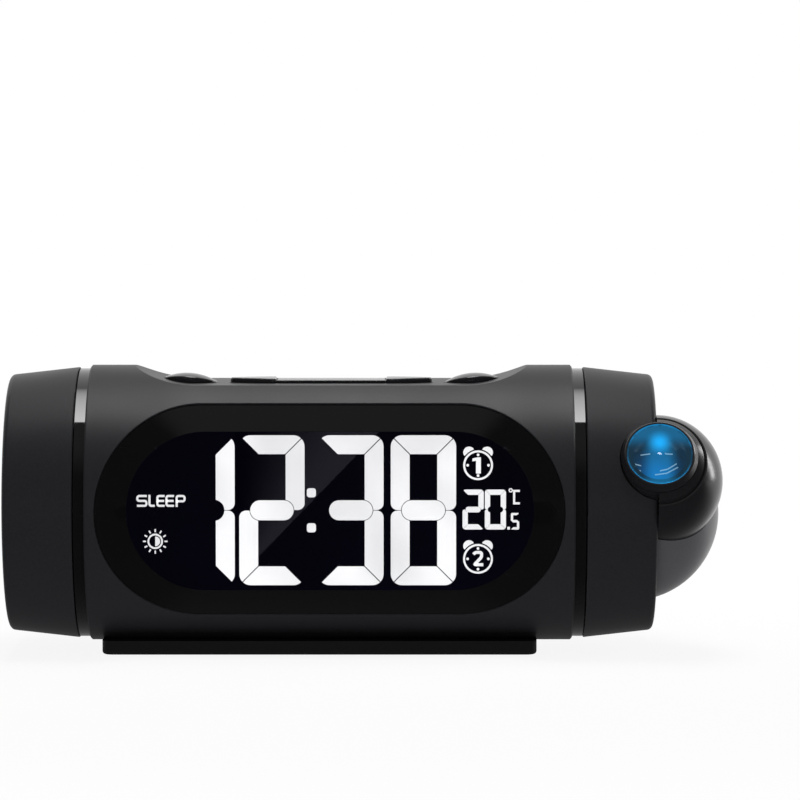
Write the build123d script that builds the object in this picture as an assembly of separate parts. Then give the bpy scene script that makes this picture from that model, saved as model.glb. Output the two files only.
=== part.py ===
"""Projection alarm clock: a round barrel on a low base, with a display in front, keys on top,
a speaker in the left end and a projector turret that turns on the right end.

Millimetres. X runs to the right along the barrel, Y to the back, Z up. The pieces are modelled
about the barrel's axis and lifted by AXIS_HEIGHT when they are written, so the origin is on the
resting surface, below the middle of the barrel.
"""
from build123d import *
import os
from math import asin, cos, radians, sin, sqrt

os.makedirs("parts", exist_ok=True)

# Barrel
BARREL_R = 37.1            # outer radius of the round body
BARREL_HALF = 64.7         # half of its length
WALL = 2.2                 # thickness of the moulded walls
REAR_DEPTH = 17.1          # depth of the rear shell, front to back
FLOOR_GAP = 2.6            # lowest line of the barrel above the resting surface
BARREL_EDGE = 0.4          # chamfer of its two ends

# Clearances
FIT = 0.1                  # between fixed pieces
RUNNING = 0.05             # radial, where one piece turns on another
GAP = 0.3                  # between a moving piece and its neighbours
OVER = 1.0                 # how far a cut runs past what it cuts

# Scoop and keys on top
SCOOP_DEPTH = 4.5          # floor of the scoop below the barrel's top
SCOOP_MARGIN = 11.9        # barrel's end to the top of the scoop's slope
SCOOP_RUN = 16.8           # length of each slope
SCOOP_EDGE_R = 0.6         # rounding of the scoop's rim
KEY_Y = -3.0               # middle of the row of keys
KEY_DEPTH = 10.0           # front to back
KEY_TRAVEL = 1.0
KEY_FLANGE = 0.9           # how far a key's flange reaches under the deck
KEY_FLANGE_T = 1.0
KEY_EDGE_R = 0.45
BAR_HALF = 14.5            # half-length of the centre key
BAR_PROUD = 0.9            # its height above the deck
WING_LEN = 12.6
WING_TIP_R = 2.2
WING_PROUD = 1.3
OVAL_SPACE = 3.5           # wing key to oval key
OVAL_LEN = 14.2
OVAL_TIP_R = 3.6
OVAL_PROUD = 2.5           # its crown above the deck
OVAL_CROWN = 1.7           # fall of its top from the middle to the ends
OVAL_TILT = 4.6            # degrees, follows the rise of the scoop
STEM_R = 1.6

# Display
BEZEL_MARGIN = 2.9         # barrel's end to the bezel's end
BEZEL_HALF_H = 27.7
BEZEL_END_W = 7.9          # bezel beside the window, at its ends
BEZEL_SIDE_W = 6.7         # bezel above and below the window
OPENING_EDGE_R = 0.3       # rounding of the barrel's edge round the bezel
WINDOW_SET = 1.6           # window behind the line that is flush with the barrel
WINDOW_T = 2.0
WINDOW_LIP = 1.0           # flange round the back of the window
WINDOW_LIP_T = 0.8
GLASS_T = 1.2              # liquid crystal glass
GLASS_MARGIN = 0.6         # glass edge inside the window flange
SEGMENT_T = 0.15
LIGHT_BOX_T = 6.0
LIGHT_BOX_WALL = 1.2
LED_COUNT = 6
LED_SIDE = 3.0
LED_T = 1.0
DIGIT_MARGIN = 1.1         # large figures to the window's edge, above and below
DIGIT_W = 17.3
STROKE = 5.0               # width of a large segment
PILL_H = 5.3               # height of the middle segment
PILL_LEN = 11.5
SEGMENT_GAP = 0.18
DIGIT_CORNER_R = 3.0       # outer corners of a large figure
NOTCH_R = 1.8              # rounding beside the middle segment
MINUTES_END = 20.55        # right edge of the last large figure to the window's right end
MINUTES_SPACE = 1.9        # between the two figures of the minutes
HOURS_SPACE = 1.2
COLON_SPACE = 3.6          # between the hours and the minutes
COLON_DOT = 2.4
COLON_CORNER_R = 0.7
COLON_Z = 4.65
SMALL_SPACE = 1.7          # large figures to the small ones
SMALL_DIGIT_H = 10.6
SMALL_DIGIT_W = 5.6
SMALL_DIGIT_SPACE = 0.3
SMALL_STROKE = 1.4
SMALL_Z = 0.2
TENTH_H = 4.4
TENTH_W = 2.2
TENTH_SPACE = 1.3
TENTH_STROKE = 0.6
TENTH_Z = -2.9

# Boards
BOARD_T = 1.6
MAIN_BOARD_INSET = 5.9     # window's end to the board's end
MAIN_BOARD_GAP = 2.0       # light box to board
CHIP_SIDE = 12.0
CHIP_T = 1.6
CHIP_X = -16.0
CHIP_Z = 4.0
RADIO_LEN = 22.0
RADIO_H = 16.0
RADIO_T = 3.0
RADIO_X = 14.0
RADIO_Z = -4.0
SENSOR_SIDE = 3.0
SENSOR_T = 1.2
SENSOR_INSET = 4.0         # its middle to the board's end
SENSOR_Z = 8.0
BOARD_CORNER_R = 2.0
KEY_BOARD_RIM = 0.3        # board beyond its bosses
SWITCH_SIDE = 6.0
SWITCH_H = 3.0
SWITCH_SPACE = 0.2         # a pressed key's flange to its switch
BOSS_R = 3.0
BOSS_SPACE = 0.8           # a boss to the flange of a key
SCREW_R = 1.3
SCREW_HEAD_R = 2.4
SCREW_HEAD_H = 1.4
CASE_SCREW_MARGIN = 7.2    # barrel's end to the case screws
CASE_SCREW_INSET = 2.0     # inside of the seam to the case screws
CASE_BOSS_LEN = 10.0
BASE_BOSS_LEN = 6.6
BASE_SCREW_LEN = 5.5       # depth of its hole above the barrel's lowest line

# End collars and caps
COLLAR_STEP = 0.9          # how far the glossy ring beside each cap lies below the barrel
COLLAR_W = 2.8
SPIGOT_WALL = 2.0
CAP_STEP = 0.6             # the cap's edge below the barrel
CAP_TAPER = 2.1            # and how much narrower the cap's outer end is
CAP_LEN = 18.7
CAP_EDGE_R = 1.5           # rounding of its outer end
CAP_LIP_R = 0.3            # rounding of its open end
CAP_WALL = 2.2
CAP_END_WALL = 2.0
CAP_SPIGOT_LEN = 3.0

# Speaker in the left cap
SPEAKER_R = 26.0
SPEAKER_DEPTH = 8.5
SPEAKER_FLANGE_T = 1.0
SPEAKER_FLANGE_W = 2.5
CONE_INSET = 4.0           # cone's edge inside the basket's edge
CONE_ROLL_W = 1.5          # rolled edge of the cone
CONE_T = 0.6
MAGNET_R = 13.0
MAGNET_T = 4.5
GRILLE_R = 21.0
GRILLE_SLOT = 1.8
GRILLE_PITCH = 4.2
GRILLE_CLOTH_T = 0.3

# Turret and projector
HUB_R = 6.0
HUB_BORE_R = 3.8
HUB_LEN = 5.0
TURRET_PLATE_T = 2.2
TURRET_BOSS_R = 9.4
WASHER_R = 8.0
WASHER_T = 1.0
WASHER_SCREW_R = 0.7
WASHER_SCREW_LEN = 3.5     # in the hub
WASHER_HEAD_R = 1.26
WASHER_HEAD_H = 0.7
DOME_R = 23.7
DOME_INSET = 6.2           # its centre inside the end of the cap
DOME_DROP = 2.2            # below the barrel's axis
DOME_SET = 7.6             # and in front of it
DOME_WALL = 2.0
DOME_FLANGE = 2.4
BALL_R = 17.5
BALL_WALL = 1.8
BALL_OUT = 0.3             # its centre beyond the end of the cap
BALL_SET = 16.3            # its centre behind the front of the cap
BALL_Z = 7.3
LENS_TILT = 29.5           # degrees of the lens axis above the horizontal, towards the front
LENS_SEAT = 14.2           # ball centre to the shoulder under the focus ring
SHOULDER_LEN = 5.5
BARREL_NECK_R = 8.2
TUBE_R = 7.0               # bore of the optical tube
TUBE_BACK = -4.0           # rear end of the tube from the ball's centre
NECK_LEN = 1.5
RING_R = 10.15
RING_TOP_R = 9.3
RING_H = 2.4
RING_SIDE_H = 0.6          # its straight part, below the cone
RING_EDGE = 0.2            # chamfer at the top
LAMP_R = 2.5
LAMP_BASE_H = 0.8
LAMP_DOME_H = 1.2
CONDENSER_EDGE_T = 1.0
CONDENSER_H = 2.6
FILM_AT = 4.0              # ball centre to the film
FILM_T = 1.1
LENS_R = 8.6
LENS_EDGE_T = 0.9
LENS_CROWN = 0.6
GROOVE_AT = 12.4           # groove round the ball, along the lens axis from its centre
GROOVE_W = 0.8
GROOVE_DEPTH = 0.7
GROOVE_LIP = 0.3           # chamfer of its edges

# Base
BASE_X = -3.0              # its middle, a little left of the barrel's
BASE_MARGIN = 6.7          # barrel's end to the base's end, were they centred
BASE_DEPTH = 40.0
BASE_T = 3.75
BASE_CORNER_R = 3.0
BASE_EDGE_R = 0.9
PAD_T = 1.0                # anti-slip pad under the base
PAD_PROUD = 0.4
PAD_INSET = 5.0
BASE_SCREW_INSET = 20.0

# Rear: cells, door, socket
CELL_R = 5.25              # AAA size
CELL_LEN = 44.5
CELL_GAP = 0.7
CELL_SPRING_LEN = 5.0
CELL_TIP = 1.0             # the raised end contact
CONTACT_T = 0.4
SPRING_WIRE_R = 0.3
SPRING_TURNS = 4
BAY_WALL = 1.4
DOOR_T = 1.4
DOOR_LEDGE = 2.5
GRIP_COUNT = 5             # grooves for the thumb on the door
GRIP_PITCH = 1.6
GRIP_W = 0.7
GRIP_H = 10.0
GRIP_INSET = 4.0           # middle groove to the bay's end
SOCKET_SPACE = 9.55        # door to the socket's recess
SOCKET_Z = -9.0
SOCKET_NOSE_R = 3.8
SOCKET_BORE_R = 2.8
SOCKET_PIN_R = 1.0
SOCKET_LEN = 13.0
SOCKET_SIDE = 9.0
VENT_COUNT = 7
VENT_PITCH = 4.0
VENT_W = 1.6
VENT_H = 16.0
VENT_SPACE = 3.45          # door to the first vent

# Values that follow from those above
AXIS_HEIGHT = BARREL_R + FLOOR_GAP
SPLIT_Y = BARREL_R - REAR_DEPTH
INNER_R = BARREL_R - WALL
DECK_Z = BARREL_R - SCOOP_DEPTH
DECK_UNDER_Z = DECK_Z - WALL
SCOOP_HALF = BARREL_HALF - SCOOP_MARGIN
DECK_FLAT_HALF = SCOOP_HALF - SCOOP_RUN
WING_END = BAR_HALF + WING_LEN
OVAL_X = WING_END + OVAL_SPACE + OVAL_LEN / 2
BEZEL_HALF_LEN = BARREL_HALF - BEZEL_MARGIN
WINDOW_HALF_LEN = BEZEL_HALF_LEN - BEZEL_END_W
WINDOW_HALF_H = BEZEL_HALF_H - BEZEL_SIDE_W
WINDOW_FRONT = sqrt(BARREL_R**2 - WINDOW_HALF_H**2) - WINDOW_SET
WINDOW_BACK = WINDOW_FRONT - WINDOW_T
GLASS_FRONT = WINDOW_BACK - WINDOW_LIP_T - GAP
LIGHT_BOX_FRONT = GLASS_FRONT - GLASS_T
LIGHT_BOX_BACK = LIGHT_BOX_FRONT - LIGHT_BOX_T
MAIN_BOARD_FRONT = LIGHT_BOX_BACK - MAIN_BOARD_GAP
MAIN_BOARD_BACK = MAIN_BOARD_FRONT - BOARD_T
MAIN_BOARD_HALF_LEN = WINDOW_HALF_LEN - MAIN_BOARD_INSET
MAIN_BOARD_HALF_H = WINDOW_HALF_H + WINDOW_LIP
DIGIT_H = 2 * (WINDOW_HALF_H - DIGIT_MARGIN)
KEY_FLANGE_BOTTOM = DECK_UNDER_Z - GAP - KEY_FLANGE_T
KEY_BOARD_Z = KEY_FLANGE_BOTTOM - KEY_TRAVEL - SWITCH_SPACE - SWITCH_H
BOARD_BOSS_X = OVAL_X + OVAL_LEN / 2 + BOSS_SPACE + BOSS_R
BOARD_BOSS_Y = KEY_Y + KEY_DEPTH / 2 + KEY_FLANGE + BOSS_SPACE + BOSS_R
KEY_BOARD_HALF_LEN = BOARD_BOSS_X + BOSS_R + KEY_BOARD_RIM
KEY_BOARD_HALF_DEPTH = BOARD_BOSS_Y + BOSS_R + KEY_BOARD_RIM
CASE_SCREW_X = BARREL_HALF - CASE_SCREW_MARGIN
CASE_SCREW_Z = sqrt(INNER_R**2 - SPLIT_Y**2) - CASE_SCREW_INSET
COLLAR_R = BARREL_R - COLLAR_STEP
COLLAR_END = BARREL_HALF + COLLAR_W
CAP_R = BARREL_R - CAP_STEP
CAP_RIM_R = CAP_R - CAP_TAPER
CAP_START = COLLAR_END + GAP
CAP_END = CAP_START + CAP_LEN
CAP_INNER_END = CAP_END - CAP_END_WALL
DOME_X = CAP_END - DOME_INSET
BALL_X = CAP_END + BALL_OUT
BALL_Y = BALL_SET - CAP_R
SPIGOT_LEN = BEZEL_MARGIN - GAP
BASE_LEN = 2 * (BARREL_HALF - BASE_MARGIN)
BASE_TOP = PAD_PROUD + BASE_T - AXIS_HEIGHT
BASE_BOTTOM = PAD_PROUD - AXIS_HEIGHT
PAD_TOP = PAD_T - AXIS_HEIGHT
CELL_Z = CELL_R + CELL_GAP / 2
BAY_HALF_H = 2 * CELL_R + CELL_GAP
BAY_HALF_LEN = (CELL_LEN + CELL_SPRING_LEN) / 2 + CONTACT_T + FIT
BAY_FLOOR = SPLIT_Y + BAY_WALL + GAP
DOOR_HALF_LEN = BAY_HALF_LEN + DOOR_LEDGE
SOCKET_SEAT_R = SOCKET_SIDE / 2 + WALL
SOCKET_X = -DOOR_HALF_LEN - SOCKET_SPACE - SOCKET_SEAT_R
VENT_X = DOOR_HALF_LEN + VENT_SPACE + VENT_W / 2         # the vent beside the door
CELL_Y = BAY_FLOOR + CELL_R + CELL_GAP / 2
LENS_PLANE = Plane(
    origin=(BALL_X, BALL_Y, BALL_Z),
    x_dir=(1, 0, 0),
    z_dir=(0, -cos(radians(LENS_TILT)), sin(radians(LENS_TILT))),
)
LIFT = Pos(0, 0, AXIS_HEIGHT)
BIG = 4 * BARREL_R


# Helpers
def along_x(radius, x0, x1):
    """Cylinder about the barrel axis from x0 to x1."""
    return extrude(Pos(x0, 0, 0) * (Plane.YZ * Circle(radius)), amount=x1 - x0)


def along_y(sketch, y0, y1):
    """Upright sketch (x, z) swept from y0 to y1."""
    return extrude(Pos(0, y1, 0) * (Plane.XZ * sketch), amount=y1 - y0)


def along_z(sketch, z0, z1):
    return extrude(Pos(0, 0, z0) * sketch, amount=z1 - z0)


def block(x0, x1, y0, y1, z0, z1):
    size = (x1 - x0, y1 - y0, z1 - z0)
    return Pos((x0 + x1) / 2, (y0 + y1) / 2, (z0 + z1) / 2) * Box(*size)


def post(x, z, radius, y0, y1):
    """Round post or hole parallel to Y."""
    return along_y(Pos(x, z) * Circle(radius), y0, y1)


def pillar(x, y, radius, z0, z1):
    """Round pillar or hole parallel to Z."""
    return along_z(Pos(x, y) * Circle(radius), z0, z1)


def ring_x(outer, inner, x0, x1):
    return along_x(outer, x0, x1) - along_x(inner, x0, x1)


def turned(points, axis):
    """Solid of revolution from (along, radius) points, turned about an axis plane's Z."""
    outline = [(radius, along) for along, radius in points]
    return axis * revolve(Plane.XZ * make_face(Polyline(*outline, close=True)), Axis.Z)


def turned_x(points):
    """Solid of revolution about the barrel axis from (x, radius) points."""
    return turned(points, Plane(origin=(0, 0, 0), x_dir=(0, 0, 1), z_dir=(1, 0, 0)))


def stadium(half_len, half_h):
    """Face with straight long edges and half-round ends."""
    x = half_len - half_h
    outline = [
        Line((-x, half_h), (x, half_h)),
        ThreePointArc((x, half_h), (half_len, 0), (x, -half_h)),
        Line((x, -half_h), (-x, -half_h)),
        ThreePointArc((-x, -half_h), (-half_len, 0), (-x, half_h)),
    ]
    return make_face(Curve() + outline)


def oval(half_len, half_h, tip_r):
    """Face of four arcs that run into each other: two long flanks and two rounder ends."""
    drop = ((half_len - tip_r) ** 2 - (half_h - tip_r) ** 2) / (2 * (half_h - tip_r))
    between = half_h + drop - tip_r          # from the middle of a flank's arc to that of an end's
    x = (half_len - tip_r) * (1 + tip_r / between)
    z = drop * tip_r / between
    outline = [
        ThreePointArc((-x, z), (0, half_h), (x, z)),
        ThreePointArc((x, z), (half_len, 0), (x, -z)),
        ThreePointArc((x, -z), (0, -half_h), (-x, -z)),
        ThreePointArc((-x, -z), (-half_len, 0), (-x, z)),
    ]
    return make_face(Curve() + outline)


def mirrored(piece):
    return mirror(piece, Plane.YZ)


def joined(pieces):
    total = pieces[0]
    for piece in pieces[1:]:
        total = total + piece
    return total


def save(name, *solids):
    """Writes one node: its solids lifted to their height above the resting surface."""
    lifted = [LIFT * solid for piece in solids for solid in piece.solids()]
    export_step(Compound(label=name, children=lifted) if len(lifted) > 1 else lifted[0],
                f"parts/{name}.step")


# Barrel shells
def above_scoop(drop):
    """All that lies above the scoop's floor, lowered by drop."""
    rise = BARREL_R - DECK_Z
    run = SCOOP_HALF - DECK_FLAT_HALF
    radius = (run**2 + rise**2) / (2 * rise)
    centre_z = DECK_Z + radius
    arc_r = radius + drop
    floor_z = DECK_Z - drop
    end_x = DECK_FLAT_HALF + sqrt(arc_r**2 - (centre_z - BARREL_R) ** 2)
    middle = asin((end_x - DECK_FLAT_HALF) / arc_r) / 2
    mid_x = DECK_FLAT_HALF + arc_r * sin(middle)
    mid_z = centre_z - arc_r * cos(middle)
    top = BARREL_R + OVER
    outline = [
        Line((-DECK_FLAT_HALF, floor_z), (DECK_FLAT_HALF, floor_z)),
        ThreePointArc((DECK_FLAT_HALF, floor_z), (mid_x, mid_z), (end_x, BARREL_R)),
        Polyline((end_x, BARREL_R), (end_x, top), (-end_x, top), (-end_x, BARREL_R)),
        ThreePointArc((-end_x, BARREL_R), (-mid_x, mid_z), (-DECK_FLAT_HALF, floor_z)),
    ]
    return along_y(make_face(Curve() + outline), -BIG, BIG)


def barrel_outer():
    """Solid barrel with chamfered ends, the scoop cut out of its top and the scoop's rim rounded."""
    solid = along_x(BARREL_R, -BARREL_HALF, BARREL_HALF)
    solid = chamfer(solid.edges().filter_by(GeomType.CIRCLE), BARREL_EDGE) - above_scoop(0)
    across = solid.edges().filter_by(Axis.Y)
    rim = [edge for edge in solid.edges()
           if edge.center().Z > DECK_Z - FIT and abs(edge.center().X) < SCOOP_HALF + FIT
           and edge not in across]
    return fillet(rim, SCOOP_EDGE_R)


def barrel_hollow():
    return along_x(INNER_R, -BARREL_HALF, BARREL_HALF) - above_scoop(WALL)


def case_screw_spots():
    return [(x, z) for x in (-CASE_SCREW_X, CASE_SCREW_X) for z in (-CASE_SCREW_Z, CASE_SCREW_Z)]


def base_screw_spots():
    reach = BASE_LEN / 2 - BASE_SCREW_INSET
    return [(BASE_X - reach, 0), (BASE_X + reach, 0)]


def board_boss_spots():
    return [(-BOARD_BOSS_X, 0), (BOARD_BOSS_X, 0), (0, BOARD_BOSS_Y)]


def display_rim(shell):
    """Where the opening for the bezel meets the barrel's surface."""
    rim = []
    for edge in shell.edges():
        x, y, z = edge.position_at(0.5)
        if y < 0 and abs(x) < BEZEL_HALF_LEN + GAP and abs(z) < BEZEL_HALF_H + GAP:
            if abs(sqrt(y**2 + z**2) - BARREL_R) < FIT:
                rim.append(edge)
    return rim


def front_shell():
    outer = barrel_outer()
    shell = outer - barrel_hollow()
    for x, z in case_screw_spots():
        shell = shell + (post(x, z, BOSS_R, SPLIT_Y - CASE_BOSS_LEN, SPLIT_Y) & outer)
    for x, y in base_screw_spots():
        shell = shell + (pillar(x, y, BOSS_R, -BARREL_R, -BARREL_R + BASE_BOSS_LEN) & outer)
    for x, y in board_boss_spots():
        shell = shell + (pillar(x, y, BOSS_R, KEY_BOARD_Z, BARREL_R) & outer)
    shell = shell & block(-BIG, BIG, -BIG, SPLIT_Y, -BIG, BIG)
    shell = shell - along_y(stadium(BEZEL_HALF_LEN + FIT, BEZEL_HALF_H + FIT), -BIG, 0)
    shell = fillet(display_rim(shell), OPENING_EDGE_R)
    for name in KEYS:
        shell = shell - along_z(key_outline(name, GAP), DECK_UNDER_Z - GAP, BARREL_R)
    for x, z in case_screw_spots():
        shell = shell - post(x, z, SCREW_R, SPLIT_Y - CASE_BOSS_LEN + WALL, SPLIT_Y)
    for x, y in base_screw_spots():
        shell = shell - pillar(x, y, SCREW_R, -BARREL_R, -BARREL_R + BASE_SCREW_LEN)
    for x, y in board_boss_spots():
        shell = shell - pillar(x, y, SCREW_R, KEY_BOARD_Z, DECK_UNDER_Z - WALL / 2)
    return shell


def rear_shell():
    outer = barrel_outer()
    shell = outer - barrel_hollow()
    for x, z in case_screw_spots():
        shell = shell + (post(x, z, BOSS_R, SPLIT_Y, BARREL_R) & outer)
    bay = block(-BAY_HALF_LEN - BAY_WALL, BAY_HALF_LEN + BAY_WALL, BAY_FLOOR - BAY_WALL, BARREL_R,
                -BAY_HALF_H - BAY_WALL, BAY_HALF_H + BAY_WALL)
    shell = shell + (bay & outer)
    shell = shell + (post(SOCKET_X, SOCKET_Z, SOCKET_SEAT_R, socket_face() - WALL, BARREL_R) & outer)
    shell = shell & block(-BIG, BIG, SPLIT_Y, BIG, -BIG, BIG)
    shell = shell - block(-BAY_HALF_LEN, BAY_HALF_LEN, BAY_FLOOR, BIG, -BAY_HALF_H, BAY_HALF_H)
    shell = shell - door_outline(GAP, BARREL_R + OVER, BARREL_R - DOOR_T - GAP)
    shell = shell - post(SOCKET_X, SOCKET_Z, SOCKET_NOSE_R + FIT, SPLIT_Y, BIG)
    shell = shell - post(SOCKET_X, SOCKET_Z, SOCKET_SIDE / 2 + WALL / 2, socket_face(), BIG)
    for x, z in case_screw_spots():
        shell = shell - post(x, z, SCREW_R + FIT, SPLIT_Y, BIG)
        shell = shell - post(x, z, SCREW_HEAD_R + FIT, case_screw_seat(), BIG)
    return shell - rear_vents()


def case_screw_seat():
    """Y of the face that the heads of the case screws press on."""
    return sqrt(BARREL_R**2 - (CASE_SCREW_Z + SCREW_HEAD_R) ** 2) - SCREW_HEAD_H


def socket_face():
    """Y of the flat floor round the power socket."""
    reach = abs(SOCKET_Z) + SOCKET_SEAT_R
    return sqrt(BARREL_R**2 - reach**2)


def rear_vents():
    slots = []
    for index in range(VENT_COUNT):
        x = VENT_X + index * VENT_PITCH
        slots.append(along_y(Pos(x, 0) * Rot(0, 0, 90) * SlotOverall(VENT_H, VENT_W), SPLIT_Y + GAP, BIG))
    return joined(slots)


# Display
def dish():
    """The air in front of the window, between its edge and the bezel's edge on the barrel."""
    front = along_y(stadium(BEZEL_HALF_LEN, BEZEL_HALF_H), -BIG, 0)
    skin = Rot(180, 0, 0) * along_x(BARREL_R, -BARREL_HALF, BARREL_HALF)
    cover = (front & skin).faces().filter_by(GeomType.CYLINDER).sort_by(SortBy.AREA)[-1]
    window = Pos(0, -WINDOW_FRONT, 0) * (Plane.XZ * stadium(WINDOW_HALF_LEN, WINDOW_HALF_H))
    floor = window.face()
    slope = Shell.make_loft([floor.outer_wire(), cover.outer_wire()], ruled=True)
    return Solid(Shell([*slope.faces(), cover, floor]))


def display_bezel():
    body = along_y(stadium(BEZEL_HALF_LEN, BEZEL_HALF_H), -BIG, 0)
    body = body & along_x(BARREL_R, -BARREL_HALF, BARREL_HALF)
    inside = along_x(INNER_R, -BARREL_HALF, BARREL_HALF) & block(-BIG, BIG, -WINDOW_BACK, BIG, -BIG, BIG)
    body = body - inside
    body = (body - dish()).solids().sort_by(Axis.Y)[-1]      # what lies behind the dish
    body = body - along_y(stadium(WINDOW_HALF_LEN, WINDOW_HALF_H), -BIG, 0)
    seat = stadium(WINDOW_HALF_LEN + WINDOW_LIP + FIT, WINDOW_HALF_H + WINDOW_LIP + FIT)
    return body - along_y(seat, -WINDOW_BACK, 0)


def display_window():
    pane = along_y(stadium(WINDOW_HALF_LEN - FIT, WINDOW_HALF_H - FIT), -WINDOW_FRONT, -WINDOW_BACK)
    lip = stadium(WINDOW_HALF_LEN + WINDOW_LIP, WINDOW_HALF_H + WINDOW_LIP)
    return pane + along_y(lip, -WINDOW_BACK, -WINDOW_BACK + WINDOW_LIP_T)


def panel_outline(shrink=0):
    half_len = WINDOW_HALF_LEN + WINDOW_LIP - GLASS_MARGIN - shrink
    half_h = WINDOW_HALF_H + WINDOW_LIP - GLASS_MARGIN - shrink
    return stadium(half_len, half_h)


def display_glass():
    return along_y(panel_outline(), -GLASS_FRONT, -LIGHT_BOX_FRONT)


def light_box():
    box = along_y(panel_outline(), -LIGHT_BOX_FRONT, -LIGHT_BOX_BACK)
    return box - along_y(panel_outline(LIGHT_BOX_WALL), -LIGHT_BOX_FRONT, -LIGHT_BOX_BACK - LIGHT_BOX_WALL)


def backlight_leds():
    pitch = 2 * (WINDOW_HALF_LEN - WINDOW_HALF_H) / (LED_COUNT - 1)
    half = LED_SIDE / 2
    floor = -LIGHT_BOX_BACK - LIGHT_BOX_WALL
    leds = []
    for index in range(LED_COUNT):
        x = (index - (LED_COUNT - 1) / 2) * pitch
        leds.append(block(x - half, x + half, floor - LED_T, floor, -half, half))
    return leds


SEGMENTS = {                # lit segments of each figure, in the usual a to g order
    "1": "bc", "2": "abged", "3": "abgcd", "8": "abcdefg", "0": "abcdef", "5": "afgcd",
}


def segment_faces(figure, width, height, stroke):
    """The lit segments of one figure, centred: a rounded frame cut by mitres, and a pill across it."""
    scale = stroke / STROKE
    gap = SEGMENT_GAP * scale
    w, h, s = width / 2, height / 2, stroke
    ring = RectangleRounded(width, height, DIGIT_CORNER_R * scale) - Rectangle(width - 2 * s, height - 2 * s)
    pill_len = width - 2 * s + (PILL_LEN - DIGIT_W + 2 * STROKE) * scale
    pill_h = PILL_H * scale

    def end_bar(sign):
        points = [(-w + gap, sign * h), (w - gap, sign * h), (w - s - gap, sign * (h - s)),
                  (-w + s + gap, sign * (h - s))]
        return ring & make_face(Polyline(*points, close=True))

    def side(sign_x, sign_z):
        points = [(sign_x * w, sign_z * (h - gap)), (sign_x * (w - s), sign_z * (h - s - gap)),
                  (sign_x * (w - s), 0), (sign_x * w, 0)]
        room = SlotOverall(pill_len + 2 * gap, pill_h + 2 * gap)
        half = Pos(0, sign_z * (h + gap / 2) / 2) * RectangleRounded(width, h - gap / 2, NOTCH_R * scale)
        return (ring & make_face(Polyline(*points, close=True)) & half) - room

    shapes = {
        "a": lambda: end_bar(1), "d": lambda: end_bar(-1), "g": lambda: SlotOverall(pill_len, pill_h),
        "b": lambda: side(1, 1), "c": lambda: side(1, -1),
        "f": lambda: side(-1, 1), "e": lambda: side(-1, -1),
    }
    return [shapes[letter]() for letter in SEGMENTS[figure]]


def readouts():
    """(figure, middle x, middle z, width, height, stroke) of all that shows in numbers, and the colon's x."""
    eight = WINDOW_HALF_LEN - MINUTES_END - DIGIT_W / 2
    three = eight - MINUTES_SPACE - DIGIT_W
    two = three - COLON_SPACE - DIGIT_W
    one = two - HOURS_SPACE - DIGIT_W
    tens = eight + DIGIT_W / 2 + SMALL_SPACE + SMALL_DIGIT_W / 2
    ones = tens + SMALL_DIGIT_W + SMALL_DIGIT_SPACE
    tenths = ones + SMALL_DIGIT_W / 2 + TENTH_SPACE + TENTH_W / 2
    large = [(figure, x, 0, DIGIT_W, DIGIT_H, STROKE)
             for figure, x in (("1", one), ("2", two), ("3", three), ("8", eight))]
    small = [(figure, x, SMALL_Z, SMALL_DIGIT_W, SMALL_DIGIT_H, SMALL_STROKE)
             for figure, x in (("2", tens), ("0", ones))]
    return large + small + [("5", tenths, TENTH_Z, TENTH_W, TENTH_H, TENTH_STROKE)], (two + three) / 2


def display_segments():
    figures, colon_x = readouts()
    faces = [Pos(x, z) * face for figure, x, z, *size in figures for face in segment_faces(figure, *size)]
    dot = RectangleRounded(COLON_DOT, COLON_DOT, COLON_CORNER_R)
    faces += [Pos(colon_x, z) * dot for z in (COLON_Z, -COLON_Z)]
    return [along_y(face, -GLASS_FRONT - SEGMENT_T, -GLASS_FRONT) for face in faces]


# Boards
def main_board():
    return block(-MAIN_BOARD_HALF_LEN, MAIN_BOARD_HALF_LEN, -MAIN_BOARD_FRONT, -MAIN_BOARD_BACK,
                 -MAIN_BOARD_HALF_H, MAIN_BOARD_HALF_H)


def standoff_spots():
    x = WINDOW_HALF_LEN - WINDOW_HALF_H
    z = MAIN_BOARD_HALF_H - 3 * BOSS_R
    return [(sx * x, sz * z) for sx in (1, -1) for sz in (1, -1)]


def board_standoffs():
    """Four pegs that carry the main board on the back of the light box."""
    return [post(x, z, BOSS_R, -LIGHT_BOX_BACK, -MAIN_BOARD_FRONT) for x, z in standoff_spots()]


def main_board_screws():
    back = -MAIN_BOARD_BACK
    return [post(x, z, SCREW_HEAD_R, back, back + SCREW_HEAD_H) for x, z in standoff_spots()]


def on_main_board(x, z, length, height, thick):
    back = -MAIN_BOARD_BACK
    return block(x - length / 2, x + length / 2, back, back + thick, z - height / 2, z + height / 2)


def temperature_sensor():
    x = MAIN_BOARD_HALF_LEN - SENSOR_INSET
    return on_main_board(x, SENSOR_Z, SENSOR_SIDE, SENSOR_SIDE, SENSOR_T)


def key_board():
    plan = RectangleRounded(2 * KEY_BOARD_HALF_LEN, 2 * KEY_BOARD_HALF_DEPTH, BOARD_CORNER_R)
    board = along_z(plan, KEY_BOARD_Z - BOARD_T, KEY_BOARD_Z)
    for x, y in board_boss_spots():
        board = board - pillar(x, y, SCREW_R + FIT, KEY_BOARD_Z - BOARD_T, KEY_BOARD_Z)
    return board


def key_board_screws():
    under = KEY_BOARD_Z - BOARD_T
    return [pillar(x, y, SCREW_HEAD_R, under - SCREW_HEAD_H, under)
            + pillar(x, y, SCREW_R - FIT, under, DECK_UNDER_Z - WALL) for x, y in board_boss_spots()]


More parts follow.
